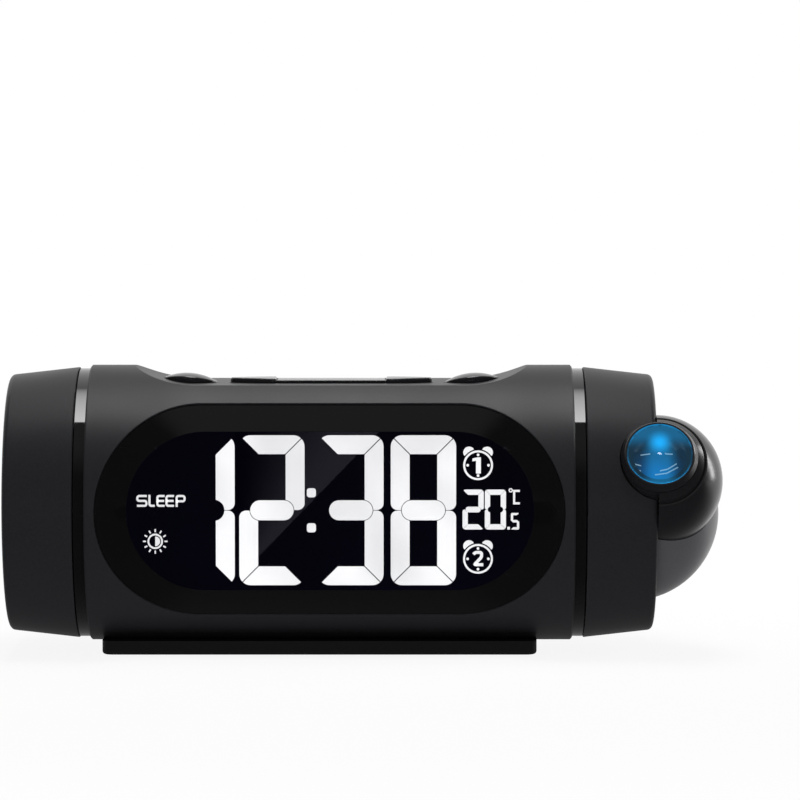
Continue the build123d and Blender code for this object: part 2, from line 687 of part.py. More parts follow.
def key_switches():
    switches = []
    for name in KEYS:
        x = key_stem_x(name)
        half = SWITCH_SIDE / 2
        body = block(x - half, x + half, KEY_Y - half, KEY_Y + half, KEY_BOARD_Z, KEY_BOARD_Z + SWITCH_H)
        switches.append(body - pillar(x, KEY_Y, STEM_R + GAP, KEY_BOARD_Z, KEY_BOARD_Z + SWITCH_H))
    return switches


# Keys
KEYS = ("left_oval_key", "left_wing_key", "centre_key", "right_wing_key", "right_oval_key")


def key_outline(name, grow=0):
    """Plan of a key, or of its opening when grown."""
    half = KEY_DEPTH / 2 + grow
    sign = -1 if "left" in name else 1
    if name == "centre_key":
        plan = Rectangle(2 * BAR_HALF, 2 * half)
    elif "oval" in name:
        plan = Pos(sign * OVAL_X, 0) * oval(OVAL_LEN / 2 + grow, half, OVAL_TIP_R + grow)
    else:
        start = BAR_HALF if grow else BAR_HALF + GAP
        whole = Pos(sign * BAR_HALF, 0) * oval(WING_LEN + grow, half, WING_TIP_R + grow)
        plan = whole & Pos(sign * (start + BIG / 2), 0) * Rectangle(BIG, BIG)
    return Pos(0, KEY_Y) * plan


def key_stem_x(name):
    sign = -1 if "left" in name else 1
    if name == "centre_key":
        return 0
    if "oval" in name:
        return sign * OVAL_X
    return sign * (BAR_HALF + WING_END) / 2


def key(name):
    """One key: cap, flange under the deck and the stem that reaches into its switch."""
    if "right" in name:
        return mirrored(key(name.replace("right", "left")))
    plan = key_outline(name)
    if "oval" in name:
        crown_r = ((OVAL_LEN / 2)**2 + OVAL_CROWN**2) / (2 * OVAL_CROWN)
        top = Pos(-OVAL_X, KEY_Y, DECK_Z + OVAL_PROUD) * Rot(0, OVAL_TILT, 0)
        cap = along_z(plan, KEY_FLANGE_BOTTOM, BARREL_R) & (top * Pos(0, 0, -crown_r) * Sphere(crown_r))
    else:
        proud = BAR_PROUD if name == "centre_key" else WING_PROUD
        cap = along_z(plan, KEY_FLANGE_BOTTOM, DECK_Z + proud)
    cap = fillet(cap.faces().sort_by(Axis.Z)[-1].edges(), KEY_EDGE_R)
    box = plan.bounding_box()
    flange = Pos((box.min.X + box.max.X) / 2, KEY_Y) * Rectangle(box.size.X, KEY_DEPTH + 2 * KEY_FLANGE)
    body = cap + along_z(flange, KEY_FLANGE_BOTTOM, DECK_UNDER_Z - GAP)
    tip = KEY_BOARD_Z + KEY_TRAVEL + GAP
    return body + pillar(key_stem_x(name), KEY_Y, STEM_R, tip, KEY_FLANGE_BOTTOM)


# Collars and caps
def collar_core():
    disc = along_x(COLLAR_R, BARREL_HALF, COLLAR_END)
    return disc + ring_x(INNER_R - FIT, INNER_R - FIT - SPIGOT_WALL, BARREL_HALF - SPIGOT_LEN, BARREL_HALF)


def cap_taper(x):
    """Outer radius of a cap at x."""
    return CAP_R + (CAP_RIM_R - CAP_R) * (x - CAP_START) / CAP_LEN


def left_collar():
    inner = cap_taper(CAP_START + CAP_SPIGOT_LEN) - CAP_WALL - FIT
    collar = collar_core() + ring_x(inner, inner - SPIGOT_WALL, COLLAR_END, CAP_START + CAP_SPIGOT_LEN)
    collar = collar - along_x(HUB_BORE_R, BARREL_HALF - OVER, COLLAR_END + OVER)
    return mirrored(collar)


def right_collar():
    collar = collar_core() + along_x(HUB_R, COLLAR_END, COLLAR_END + HUB_LEN)
    collar = collar - along_x(HUB_BORE_R, BARREL_HALF - OVER, COLLAR_END + HUB_LEN)
    for x, y, z in washer_screw_spots():
        collar = collar - rod_x(x - WASHER_SCREW_LEN - GAP, y, z, WASHER_SCREW_R, WASHER_SCREW_LEN + GAP)
    return collar


def cap_body():
    """Cup shared by both ends: tapered wall and flat end."""
    outer = turned_x([(CAP_START, 0), (CAP_START, CAP_R), (CAP_END, CAP_RIM_R), (CAP_END, 0)])
    outer = fillet(outer.edges().filter_by(GeomType.CIRCLE).sort_by(Axis.X)[-1], CAP_EDGE_R)
    outer = fillet(outer.edges().filter_by(GeomType.CIRCLE).sort_by(Axis.X)[0], CAP_LIP_R)
    return outer - cap_cavity(0, CAP_INNER_END)


def cap_cavity(shrink, x_end):
    """Inside of a cap, from its open edge to x_end."""
    x0 = CAP_START
    r0 = cap_taper(x0) - CAP_WALL - shrink
    r1 = cap_taper(x_end) - CAP_WALL - shrink
    return turned_x([(x0, 0), (x0, r0), (x_end, r1), (x_end, 0)])


def grille_slots():
    slots = []
    count = int((GRILLE_R - GRILLE_SLOT) / GRILLE_PITCH)
    for index in range(-count, count + 1):
        z = index * GRILLE_PITCH
        slot = Plane.YZ * (Pos(0, z) * SlotOverall(2 * sqrt(GRILLE_R**2 - z**2), GRILLE_SLOT))
        slots.append(extrude(Pos(CAP_INNER_END - OVER, 0, 0) * slot, amount=CAP_END_WALL + 2 * OVER))
    return slots


def left_cap():
    cap = cap_body()
    for slot in grille_slots():
        cap = cap - slot
    return mirrored(cap)


def grille_cloth():
    return mirrored(along_x(SPEAKER_R, CAP_INNER_END - GRILLE_CLOTH_T, CAP_INNER_END))


def speaker_basket():
    front = CAP_INNER_END - GRILLE_CLOTH_T
    back = front - SPEAKER_DEPTH
    t = SPEAKER_FLANGE_T
    inside = SPEAKER_R - SPEAKER_FLANGE_W
    points = [
        (front, SPEAKER_R), (front, inside), (front - t, inside), (back + t, MAGNET_R),
        (back + t, MAGNET_R / 2), (back, MAGNET_R / 2), (back, MAGNET_R + t),
        (front - 2 * t, inside + t), (front - 2 * t, SPEAKER_R),
    ]
    return mirrored(turned_x(points))


def speaker_cone():
    """Paper cone with its rolled edge and dust cap, as one thin turned shell."""
    front = CAP_INNER_END - GRILLE_CLOTH_T - SPEAKER_FLANGE_T
    back = CAP_INNER_END - GRILLE_CLOTH_T - SPEAKER_DEPTH + 2 * SPEAKER_FLANGE_T
    edge = SPEAKER_R - CONE_INSET
    roll = edge - CONE_ROLL_W
    foot = roll - CONE_ROLL_W
    t = CONE_T
    points = [
        (back, 0), (back + t, 0), (back + t, MAGNET_R / 2), (front - 2 * t, foot), (front, roll),
        (front, edge), (front - t, edge), (front - t, roll), (front - 3 * t, foot), (back, MAGNET_R / 2),
    ]
    return mirrored(turned_x(points))


def speaker_magnet():
    back = CAP_INNER_END - GRILLE_CLOTH_T - SPEAKER_DEPTH
    return mirrored(along_x(MAGNET_R, back - MAGNET_T, back))


def rod_x(x, y, z, radius, length):
    return extrude(Pos(x, y, z) * (Plane.YZ * Circle(radius)), amount=length)


# Turret
def washer_screw_spots():
    x = COLLAR_END + HUB_LEN
    r = (HUB_R + HUB_BORE_R) / 2
    return [(x, r * cos(radians(a)), r * sin(radians(a))) for a in (90, 210, 330)]


def turret_plate():
    outer = cap_taper(CAP_START + TURRET_PLATE_T) - CAP_WALL - FIT
    plate = along_x(outer, CAP_START, CAP_START + TURRET_PLATE_T)
    plate = plate + along_x(TURRET_BOSS_R, CAP_START, COLLAR_END + HUB_LEN - GAP)
    return plate - along_x(HUB_R + RUNNING, CAP_START - OVER, COLLAR_END + HUB_LEN)


def turret_washer():
    x = COLLAR_END + HUB_LEN
    washer = ring_x(WASHER_R, HUB_BORE_R, x, x + WASHER_T)
    for _, y, z in washer_screw_spots():
        washer = washer - rod_x(x - OVER, y, z, WASHER_SCREW_R + FIT, WASHER_T + 2 * OVER)
    return washer


def turret_screws():
    screws = []
    for x, y, z in washer_screw_spots():
        shank = rod_x(x - WASHER_SCREW_LEN, y, z, WASHER_SCREW_R - FIT / 2, WASHER_SCREW_LEN + WASHER_T)
        screws.append(shank + rod_x(x + WASHER_T, y, z, WASHER_HEAD_R, WASHER_HEAD_H))
    return screws


def sphere_at(x, y, z, radius):
    """Sphere with its poles along X."""
    return Pos(x, y, z) * Rot(0, 90, 0) * Sphere(radius)


def ball_room(grow):
    """Space that the ball takes inside the cap and through its end wall."""
    ball = sphere_at(BALL_X, BALL_Y, BALL_Z, BALL_R + grow)
    return ball & cap_cavity(FIT - grow, CAP_END + OVER)


def lens_barrel_room(grow):
    return LENS_PLANE * along_z(Circle(RING_R + grow), 0, BIG)


def turret_cap():
    cap = cap_body() - ball_room(FIT)
    cap = cap - sphere_at(DOME_X, -DOME_SET, -DOME_DROP, DOME_R + FIT)
    return cap - lens_barrel_room(GAP)


def projector_dome():
    start = CAP_INNER_END - DOME_FLANGE
    dome = sphere_at(DOME_X, -DOME_SET, -DOME_DROP, DOME_R) - block(-BIG, start, -BIG, BIG, -BIG, BIG)
    flange = Pos(0, -DOME_SET, -DOME_DROP) * along_x(DOME_R + DOME_FLANGE, start, CAP_INNER_END)
    dome = dome + (flange & cap_cavity(FIT, CAP_INNER_END))
    dome = dome - sphere_at(DOME_X, -DOME_SET, -DOME_DROP, DOME_R - DOME_WALL)
    dome = dome - sphere_at(BALL_X, BALL_Y, BALL_Z, BALL_R + FIT)
    return dome - lens_barrel_room(GAP)


def ball_shell():
    """Hollow ball, trimmed to the inside of the cap on its left."""
    room = cap_cavity(FIT, CAP_END) + block(CAP_END, BIG, -BIG, BIG, -BIG, BIG)
    left = CAP_START + TURRET_PLATE_T + GAP
    ball = sphere_at(BALL_X, BALL_Y, BALL_Z, BALL_R) & block(left, BIG, -BIG, BIG, -BIG, BIG)
    return (ball & room) - ball_hollow()


def ball_hollow():
    left = CAP_START + TURRET_PLATE_T + GAP + BALL_WALL
    hollow = sphere_at(BALL_X, BALL_Y, BALL_Z, BALL_R - BALL_WALL) & block(left, BIG, -BIG, BIG, -BIG, BIG)
    return hollow & (cap_cavity(FIT + BALL_WALL, CAP_END) + block(CAP_END, BIG, -BIG, BIG, -BIG, BIG))


def lens_half(front):
    z0, z1 = (0, BIG) if front else (-BIG, 0)
    return LENS_PLANE * along_z(Rectangle(BIG, BIG), z0, z1)


def lens_turned(points):
    """Solid of revolution about the lens axis from (along, radius) points."""
    return turned(points, LENS_PLANE)


def groove_section():
    """Outline of the groove round the ball, (along, radius), square to the surface, with chamfered edges."""
    along = GROOVE_AT / BALL_R
    out = sqrt(1 - along**2)
    half = GROOVE_W / 2
    side = [(half, BALL_R - GROOVE_DEPTH), (half, BALL_R - GROOVE_LIP),
            (half + GROOVE_LIP, BALL_R), (half + GROOVE_LIP, BALL_R + OVER)]
    near = [(r * along - w * out, r * out + w * along) for w, r in side]
    far = [(r * along + w * out, r * out - w * along) for w, r in side]
    return near + far[::-1]


def ball_front():
    shoulder = LENS_PLANE * along_z(Circle(RING_R), LENS_SEAT - SHOULDER_LEN, LENS_SEAT)
    tube = LENS_PLANE * along_z(Circle(BARREL_NECK_R), TUBE_BACK, LENS_SEAT + NECK_LEN)
    shell = (ball_shell() & lens_half(True)) + shoulder
    shell = shell - LENS_PLANE * along_z(Rectangle(BIG, BIG), LENS_SEAT, BIG)
    shell = shell + tube - LENS_PLANE * along_z(Circle(TUBE_R), TUBE_BACK, LENS_SEAT + NECK_LEN)
    return shell - lens_turned(groove_section())


def ball_rear():
    shell = ball_shell() & lens_half(False)
    return shell - LENS_PLANE * along_z(Circle(BARREL_NECK_R + GAP), TUBE_BACK - BOARD_T - GAP, 0)


def lamp_board():
    return LENS_PLANE * along_z(Circle(BARREL_NECK_R), TUBE_BACK - BOARD_T, TUBE_BACK)


def crowned(radius, height, crown):
    """Disc about Z with a domed upper face: height at its middle, less by crown at its edge."""
    sphere_r = (radius**2 + crown**2) / (2 * crown)
    return along_z(Circle(radius), 0, height) & (Pos(0, 0, height - sphere_r) * Sphere(sphere_r))


def projector_lamp():
    """Light-emitting diode: a round base and its dome."""
    return LENS_PLANE * Pos(0, 0, TUBE_BACK) * crowned(LAMP_R, LAMP_BASE_H + LAMP_DOME_H, LAMP_DOME_H)


def condenser_lens():
    return LENS_PLANE * crowned(TUBE_R - FIT, CONDENSER_H, CONDENSER_H - CONDENSER_EDGE_T)


def time_film():
    return LENS_PLANE * along_z(Circle(TUBE_R - FIT), FILM_AT, FILM_AT + FILM_T)


def focus_ring():
    base = LENS_SEAT + GAP
    top = base + RING_H
    step = LENS_SEAT + NECK_LEN + GAP
    points = [
        (base, BARREL_NECK_R + RUNNING), (base, RING_R), (base + RING_SIDE_H, RING_R),
        (top - RING_EDGE, RING_TOP_R), (top, RING_TOP_R - RING_EDGE), (top, LENS_R + FIT),
        (step, LENS_R + FIT), (step, BARREL_NECK_R + RUNNING),
    ]
    return lens_turned(points)


def projector_lens():
    back = LENS_SEAT + NECK_LEN + GAP
    return LENS_PLANE * Pos(0, 0, back) * crowned(LENS_R, LENS_EDGE_T + LENS_CROWN, LENS_CROWN)


# Base
def pad_plan(grow=0):
    length = BASE_LEN - 2 * PAD_INSET + 2 * grow
    depth = BASE_DEPTH - 2 * PAD_INSET + 2 * grow
    return Pos(BASE_X, 0) * RectangleRounded(length, depth, BASE_CORNER_R)


def base_plate():
    plan = Pos(BASE_X, 0) * RectangleRounded(BASE_LEN, BASE_DEPTH, BASE_CORNER_R)
    plate = along_z(plan, BASE_BOTTOM, BASE_TOP)
    plate = fillet(plate.faces().sort_by(Axis.Z)[0].edges(), BASE_EDGE_R)
    plate = plate - along_x(BARREL_R + FIT, -BIG, BIG)
    plate = plate - along_z(pad_plan(FIT), BASE_BOTTOM, PAD_TOP)
    for x, y in base_screw_spots():
        plate = plate - pillar(x, y, SCREW_R + FIT, BASE_BOTTOM, BASE_TOP)
        plate = plate - pillar(x, y, SCREW_HEAD_R + FIT, BASE_BOTTOM, base_screw_seat())
    return plate


def base_screw_seat():
    """Height of the recess floor for a base screw: half-way through what the pad leaves."""
    return (PAD_TOP - BARREL_R - FIT) / 2


def anti_slip_pad():
    return along_z(pad_plan(), -AXIS_HEIGHT, PAD_TOP)


def base_screws():
    seat = base_screw_seat()
    tip = -BARREL_R + BASE_SCREW_LEN - GAP
    return [pillar(x, y, SCREW_HEAD_R, PAD_TOP, seat) + pillar(x, y, SCREW_R - FIT, seat, tip)
            for x, y in base_screw_spots()]


# Rear pieces
def case_screws():
    seat = case_screw_seat()
    tip = SPLIT_Y - CASE_BOSS_LEN + WALL + GAP
    return [post(x, z, SCREW_HEAD_R, seat, seat + SCREW_HEAD_H) + post(x, z, SCREW_R - FIT, tip, seat)
            for x, z in case_screw_spots()]


def door_outline(grow, outer_r, inner_r):
    half_len = DOOR_HALF_LEN + grow
    half_h = BAY_HALF_H + DOOR_LEDGE + grow
    plan = along_y(RectangleRounded(2 * half_len, 2 * half_h, DOOR_LEDGE), 0, BIG)
    return plan & ring_x(outer_r, inner_r, -BARREL_HALF, BARREL_HALF)


def battery_door():
    door = door_outline(0, BARREL_R, BARREL_R - DOOR_T)
    for index in range(GRIP_COUNT):
        x = BAY_HALF_LEN - GRIP_INSET + (index - (GRIP_COUNT - 1) / 2) * GRIP_PITCH
        door = door - along_y(Pos(x, 0) * Rectangle(GRIP_W, GRIP_H), BARREL_R - DOOR_T / 3, BIG)
    return door


def both_rows(piece):
    """A piece of the upper cell's row and its copy, turned end for end, in the lower row."""
    return [piece, Rot(0, 180, 0) * piece]


def battery_cells():
    """Two cells side by side, their raised ends at opposite sides."""
    tip_end = BAY_HALF_LEN - CONTACT_T - FIT
    can = rod_x(tip_end - CELL_LEN, CELL_Y, CELL_Z, CELL_R, CELL_LEN - CELL_TIP)
    return both_rows(can + rod_x(tip_end - CELL_TIP, CELL_Y, CELL_Z, CELL_R / 3, CELL_TIP))


def battery_springs():
    start = -BAY_HALF_LEN + CONTACT_T
    length = CELL_SPRING_LEN - 2 * SPRING_WIRE_R
    coil_r = CELL_R / 2
    path = Helix(length / SPRING_TURNS, length, coil_r)
    wire = sweep(Plane(origin=path @ 0, z_dir=path % 0) * Circle(SPRING_WIRE_R), path=path)
    spring = Pos(start + SPRING_WIRE_R, CELL_Y, CELL_Z) * Rot(0, 90, 0) * wire
    return both_rows(spring)


def battery_contacts():
    """A sprung-end and a flat-end plate for each cell, standing against the bay's end walls."""
    half = CELL_R - CELL_GAP
    x = BAY_HALF_LEN - CONTACT_T
    plates = [block(x0, x0 + CONTACT_T, BAY_FLOOR, CELL_Y + half, CELL_Z - half, CELL_Z + half)
              for x0 in (x, -BAY_HALF_LEN)]
    return [copy for plate in plates for copy in both_rows(plate)]


def power_socket():
    face = socket_face() - WALL
    half = SOCKET_SIDE / 2
    body = block(SOCKET_X - half, SOCKET_X + half, face - SOCKET_LEN, face, SOCKET_Z - half, SOCKET_Z + half)
    body = body + post(SOCKET_X, SOCKET_Z, SOCKET_NOSE_R, face, socket_face())
    return body - post(SOCKET_X, SOCKET_Z, SOCKET_BORE_R, face - SOCKET_LEN + WALL, socket_face())


def power_socket_pin():
    face = socket_face() - WALL
    return post(SOCKET_X, SOCKET_Z, SOCKET_PIN_R, face - SOCKET_LEN + WALL, face)


save("front_shell", front_shell())
save("rear_shell", rear_shell())
save("display_bezel", display_bezel())
save("display_window", display_window())
save("display_glass", display_glass())
save("display_segments", *display_segments())
save("light_box", light_box())
save("backlight_leds", *backlight_leds())
save("main_board", main_board())
save("board_standoffs", *board_standoffs())
save("main_board_screws", *main_board_screws())
save("clock_chip", on_main_board(CHIP_X, CHIP_Z, CHIP_SIDE, CHIP_SIDE, CHIP_T))
save("radio_module", on_main_board(RADIO_X, RADIO_Z, RADIO_LEN, RADIO_H, RADIO_T))
save("temperature_sensor", temperature_sensor())
save("key_board", key_board())
save("key_board_screws", *key_board_screws())
save("key_switches", *key_switches())
for key_name in KEYS:
    save(key_name, key(key_name))
save("left_collar", left_collar())
save("right_collar", right_collar())
save("left_cap", left_cap())
save("grille_cloth", grille_cloth())
save("speaker_basket", speaker_basket())
save("speaker_cone", speaker_cone())
save("speaker_magnet", speaker_magnet())
save("turret_plate", turret_plate())
save("turret_washer", turret_washer())
save("turret_screws", *turret_screws())
save("turret_cap", turret_cap())
save("projector_dome", projector_dome())
save("ball_front", ball_front())
save("ball_rear", ball_rear())
save("lamp_board", lamp_board())
save("projector_lamp", projector_lamp())
save("condenser_lens", condenser_lens())
save("time_film", time_film())
save("focus_ring", focus_ring())
save("projector_lens", projector_lens())
save("base_plate", base_plate())
save("anti_slip_pad", anti_slip_pad())
save("base_screws", *base_screws())
save("case_screws", *case_screws())
save("battery_door", battery_door())
save("battery_cells", *battery_cells())
save("battery_springs", *battery_springs())
save("battery_contacts", *battery_contacts())
save("power_socket", power_socket())
save("power_socket_pin", power_socket_pin())
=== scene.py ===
"""Looks of the projection alarm clock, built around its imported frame.

Metres, with the origin on the resting surface below the middle of the barrel. X runs to the right
along the barrel, Y to the back, Z up.
"""
import math

import bmesh
import bpy
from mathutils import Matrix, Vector


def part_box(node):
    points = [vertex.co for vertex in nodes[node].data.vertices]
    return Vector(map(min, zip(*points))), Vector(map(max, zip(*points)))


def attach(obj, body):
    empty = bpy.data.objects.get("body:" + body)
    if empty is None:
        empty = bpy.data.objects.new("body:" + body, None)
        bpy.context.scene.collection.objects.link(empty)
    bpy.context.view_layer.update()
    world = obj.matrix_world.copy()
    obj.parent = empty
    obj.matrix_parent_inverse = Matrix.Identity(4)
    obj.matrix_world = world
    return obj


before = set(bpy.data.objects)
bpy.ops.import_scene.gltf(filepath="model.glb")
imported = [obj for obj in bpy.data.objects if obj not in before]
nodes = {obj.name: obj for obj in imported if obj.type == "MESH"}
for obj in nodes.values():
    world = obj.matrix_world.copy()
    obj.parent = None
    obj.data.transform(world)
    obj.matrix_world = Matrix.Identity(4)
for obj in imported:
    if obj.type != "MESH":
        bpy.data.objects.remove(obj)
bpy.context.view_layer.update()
MM = 0.001

# What the display shows besides its figures (millimetres from the window's middle: right, up)
SLEEP_STROKE = 0.56
SLEEP_TOP, SLEEP_BOTTOM = 3.8, 1.2     # middle lines of the letters' upper and lower bars
LETTER_CORNER_R = 0.5
SUN_AT = (-46.3, -8.25)
SUN_R, SUN_STROKE = 1.82, 0.46
SUN_CORE_R = 1.3
RAY_COUNT, RAY_START, RAY_END, RAY_W = 12, 2.45, 3.25, 0.38
ALARM_AT = ((39.15, 11.95), (39.15, -12.9))
ALARM_R, ALARM_STROKE = 3.68, 0.52
TICK_R, TICK_AT = 0.36, 2.75
BELL_GAP_R = 4.3                       # clear circle between an alarm's ring and its bells
BELL_AT, BELL_R, BELL_ANGLE = 4.15, 1.55, 35.0
NUMERAL_STROKE, NUMERAL_CORNER_R = 0.8, 0.45
DEGREE_AT, DEGREE_R, DEGREE_STROKE = (47.8, 5.3), 0.42, 0.3
C_STROKE = 0.55
POINT_AT, POINT_SIDE = (47.25, -4.75), 0.7

# Projector (millimetres and radians)
LENS_TILT = math.radians(29.5)         # of its axis above the horizontal, towards the front
LENS_AXIS = Vector((0, -math.cos(LENS_TILT), math.sin(LENS_TILT)))
LENS_UP = Vector((0, math.sin(LENS_TILT), math.cos(LENS_TILT)))
PAINTED_GLOW_RISE, PAINTED_GLOW_CORE_R = 3.2, 4.2      # brightest spot of the painted glow, in place of the beam's light: above the lens's middle, how wide
PAINTED_GLOW_SIDE = (1.5, 5.5)                 # to either side of the middle, the painted glow fades between these
PAINTED_GLOW_TOP = (1.0, 5.5)                  # above the middle, the painted glow grows between these
PAINTED_EDGE_HIGHLIGHT = (0.45, 0.25)               # in from the rim, where the painted highlight along the lens's edge starts
FILM_T, FIGURE_DEPTH = 1.1, 0.05
FILM_STROKE = 0.26
# The clear strokes of the film's figures, from its middle: right, up
FILM_STROKES = (
    ((-3.9, 5.0), (-1.6, 5.3)), ((1.7, 5.3), (3.7, 5.2)), ((-5.8, 2.9), (-3.8, 2.3)),
    ((-5.9, 1.6), (-3.9, 1.0)), ((-5.6, 0.4), (-4.2, -0.1)), ((-0.6, 0.0), (2.2, 0.4), (4.9, 1.9)),
    ((0.6, 1.0), (2.4, 1.4), (4.6, 2.8)), ((-2.4, -1.9), (0.1, -2.3), (2.5, -1.8)),
)

# Border printed round the back of the window (millimetres)
BORDER_W, BORDER_DEPTH = 1.15, 0.05


# ---------------------------------------------------------------- modelling
def placed(name, bm):
    """Makes bm an object at the origin."""
    mesh = bpy.data.meshes.new(name)
    bm.to_mesh(mesh)
    bm.free()
    made = bpy.data.objects.new(name, mesh)
    bpy.context.scene.collection.objects.link(made)
    return made


def piece(name, bm, body, slot):
    """Makes bm a piece that rides on a body and takes its finish from a slot of the record."""
    made = placed(name, bm)
    made.data.materials.append(finishes[slot])
    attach(made, body)
    return made


def deepened(bm, grown, depth):
    """Moves the geometry that an extrusion added back by depth."""
    bmesh.ops.translate(bm, vec=(0, depth, 0),
                        verts=[g for g in grown if isinstance(g, bmesh.types.BMVert)])


def line(bm, points, corner=0.0, closed=False):
    """A drawn line in the display's plane, with its corners rounded."""
    verts = [bm.verts.new((x, 0, z)) for x, z in points]
    pairs = list(zip(verts, verts[1:] + verts[:1])) if closed else list(zip(verts, verts[1:]))
    for pair in pairs:
        bm.edges.new(pair)
    if corner:
        bmesh.ops.bevel(bm, geom=verts if closed else verts[1:-1], offset=corner,
                        offset_type="OFFSET", segments=4, profile=0.5, affect="VERTICES",
                        material=-1)


def circle(bm, centre, radius, filled=False, segments=32):
    """A circle in the display's plane, filled or as a line."""
    made = bmesh.ops.create_circle(bm, cap_ends=filled, radius=radius, segments=segments)
    for v in made["verts"]:
        v.co = (v.co.x + centre[0], 0, v.co.y + centre[1])


def drawn(stroke, draw):
    """The lines that draw() puts down, as bands as wide as the stroke and 1 deep to the back."""
    bm = bmesh.new()
    draw(bm)
    deepened(bm, bmesh.ops.extrude_edge_only(bm, edges=bm.edges[:])["geom"], 1)
    bmesh.ops.recalc_face_normals(bm, faces=bm.faces[:])
    made = placed("line", bm)
    wide = made.modifiers.new("wide", "SOLIDIFY")
    wide.thickness = stroke
    wide.offset = 0
    wide.use_even_offset = True
    seen = made.evaluated_get(bpy.context.evaluated_depsgraph_get())
    band = bpy.data.meshes.new_from_object(seen)
    bpy.data.objects.remove(made)
    return band


def cut_out(draw):
    """The closed outlines that draw() puts down, filled and 1 deep to the back."""
    bm = bmesh.new()
    draw(bm)
    if not bm.faces:
        bmesh.ops.contextual_create(bm, geom=bm.edges[:])
    deepened(bm, bmesh.ops.extrude_face_region(bm, geom=bm.faces[:])["geom"], 1)
    mesh = bpy.data.meshes.new("shape")
    bm.to_mesh(mesh)
    bm.free()
    return mesh


def lit_mark(name, parts):
    """One mark of the display: its parts side by side, in the figures' plane and as deep."""
    low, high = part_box("display_segments")
    window_low, window_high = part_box("display_window")
    middle = (window_low.z + window_high.z) / 2
    bm = bmesh.new()
    for part in parts:
        bm.from_mesh(part)
        bpy.data.meshes.remove(part)
    for v in bm.verts:
        x, depth, z = v.co
        v.co = (x * MM, low.y + depth * (high.y - low.y), middle + z * MM)
    bmesh.ops.remove_doubles(bm, verts=bm.verts[:], dist=1e-7)
    bmesh.ops.recalc_face_normals(bm, faces=bm.faces[:])
    piece(name, bm, "clock", "lit_white")


# ---------------------------------------------------------------- finishes
def srgb(code):
    """A colour written as #rrggbb, as linear red, green, blue and alpha."""
    parts = [int(code[i:i + 2], 16) / 255 for i in (1, 3, 5)]
    return [p / 12.92 if p <= 0.04045 else ((p + 0.055) / 1.055) ** 2.4 for p in parts] + [1.0]


def add(tree, kind, inputs=(), **settings):
    """Adds a node. inputs gives a socket's value, or the socket that feeds it."""
    node = tree.nodes.new("ShaderNode" + kind)
    for name, value in settings.items():
        setattr(node, name, value)
    for key, value in dict(inputs).items():
        if isinstance(value, bpy.types.NodeSocket):
            tree.links.new(value, node.inputs[key])
        else:
            node.inputs[key].default_value = value
    return node


def cleared(owner):
    """The emptied node tree of a material or world."""
    owner.use_nodes = True
    owner.node_tree.nodes.clear()
    return owner.node_tree


def material(name, colour, **sockets):
    """A material with one Principled shader, its constants set on the shader's own sockets."""
    made = bpy.data.materials.new(name)
    tree = cleared(made)
    inputs = {key.replace("_", " "): value for key, value in sockets.items()}
    shader = add(tree, "BsdfPrincipled", {"Base Color": srgb(colour), **inputs})
    add(tree, "OutputMaterial", {"Surface": shader.outputs[0]})
    place = add(tree, "TexCoord").outputs["Object"]
    return made, tree, shader, place


def per(mm):
    """Scale of a pattern that repeats about every so many millimetres."""
    return 1 / (mm * MM)


def textured_abs(name, colour, light, roughness, grain=0.55, relief=0.006, level=0.5):
    """ABS from a spark-eroded tool: a fine pebbled skin that spreads each highlight into a soft
    band. The grain is about 0.1 mm on the real part, drawn coarser so that it shows."""
    made, tree, shader, place = material(name, colour, Roughness=roughness, IOR=1.54)
    shader.inputs["Specular IOR Level"].default_value = level
    pebbles = add(tree, "TexNoise", {"Vector": place, "Scale": per(grain), "Detail": 1.5})
    flow = add(tree, "TexNoise", {"Vector": place, "Scale": per(32), "Detail": 2.0})
    tint = add(tree, "Mix", {0: pebbles.outputs[0], 6: srgb(colour), 7: srgb(light)},
               data_type="RGBA")
    gloss = add(tree, "MapRange", {0: flow.outputs[0], 1: 0.35, 2: 0.65, 3: roughness - 0.03,
                                   4: roughness + 0.03})
    bump = add(tree, "Bump", {"Height": pebbles.outputs[0], "Distance": relief * MM,
                              "Strength": 1.0})
    tree.links.new(tint.outputs[2], shader.inputs["Base Color"])
    tree.links.new(gloss.outputs[0], shader.inputs["Roughness"])
    tree.links.new(bump.outputs[0], shader.inputs["Normal"])
    return made


def polished_abs(name, colour, roughness=0.03):
    """ABS from a mirror-polished tool: deep gloss, with the faint waviness and wiping haze that
    such trim shows when a lamp is reflected in it."""
    made, tree, shader, place = material(name, colour, Roughness=roughness, IOR=1.54)
    shader.inputs["Specular IOR Level"].default_value = 0.4
    haze = add(tree, "TexNoise", {"Vector": place, "Scale": per(9), "Detail": 4.0,
                                  "Roughness": 0.6})
    wave = add(tree, "TexNoise", {"Vector": place, "Scale": per(14), "Detail": 0.0})
    gloss = add(tree, "MapRange", {0: haze.outputs[0], 1: 0.35, 2: 0.75, 3: roughness,
                                   4: roughness + 0.04})
    bump = add(tree, "Bump", {"Height": wave.outputs[0], "Distance": 0.003 * MM, "Strength": 1.0})
    tree.links.new(gloss.outputs[0], shader.inputs["Roughness"])
    tree.links.new(bump.outputs[0], shader.inputs["Normal"])
    return made


def smoked_acrylic(name):
    """Cast acrylic with a smoke tint: dark, clear and mirror-smooth, a shade denser in clouds."""
    made, tree, shader, place = material(name, "#a9a9aa", Roughness=0.0, IOR=1.49,
                                         Transmission_Weight=1.0)
    cloud = add(tree, "TexNoise", {"Vector": place, "Scale": per(18), "Detail": 2.0})
    tint = add(tree, "Mix", {0: cloud.outputs[0], 6: srgb("#a2a2a4"), 7: srgb("#b0b0b1")},
               data_type="RGBA")
    tree.links.new(tint.outputs[2], shader.inputs["Base Color"])
    return made


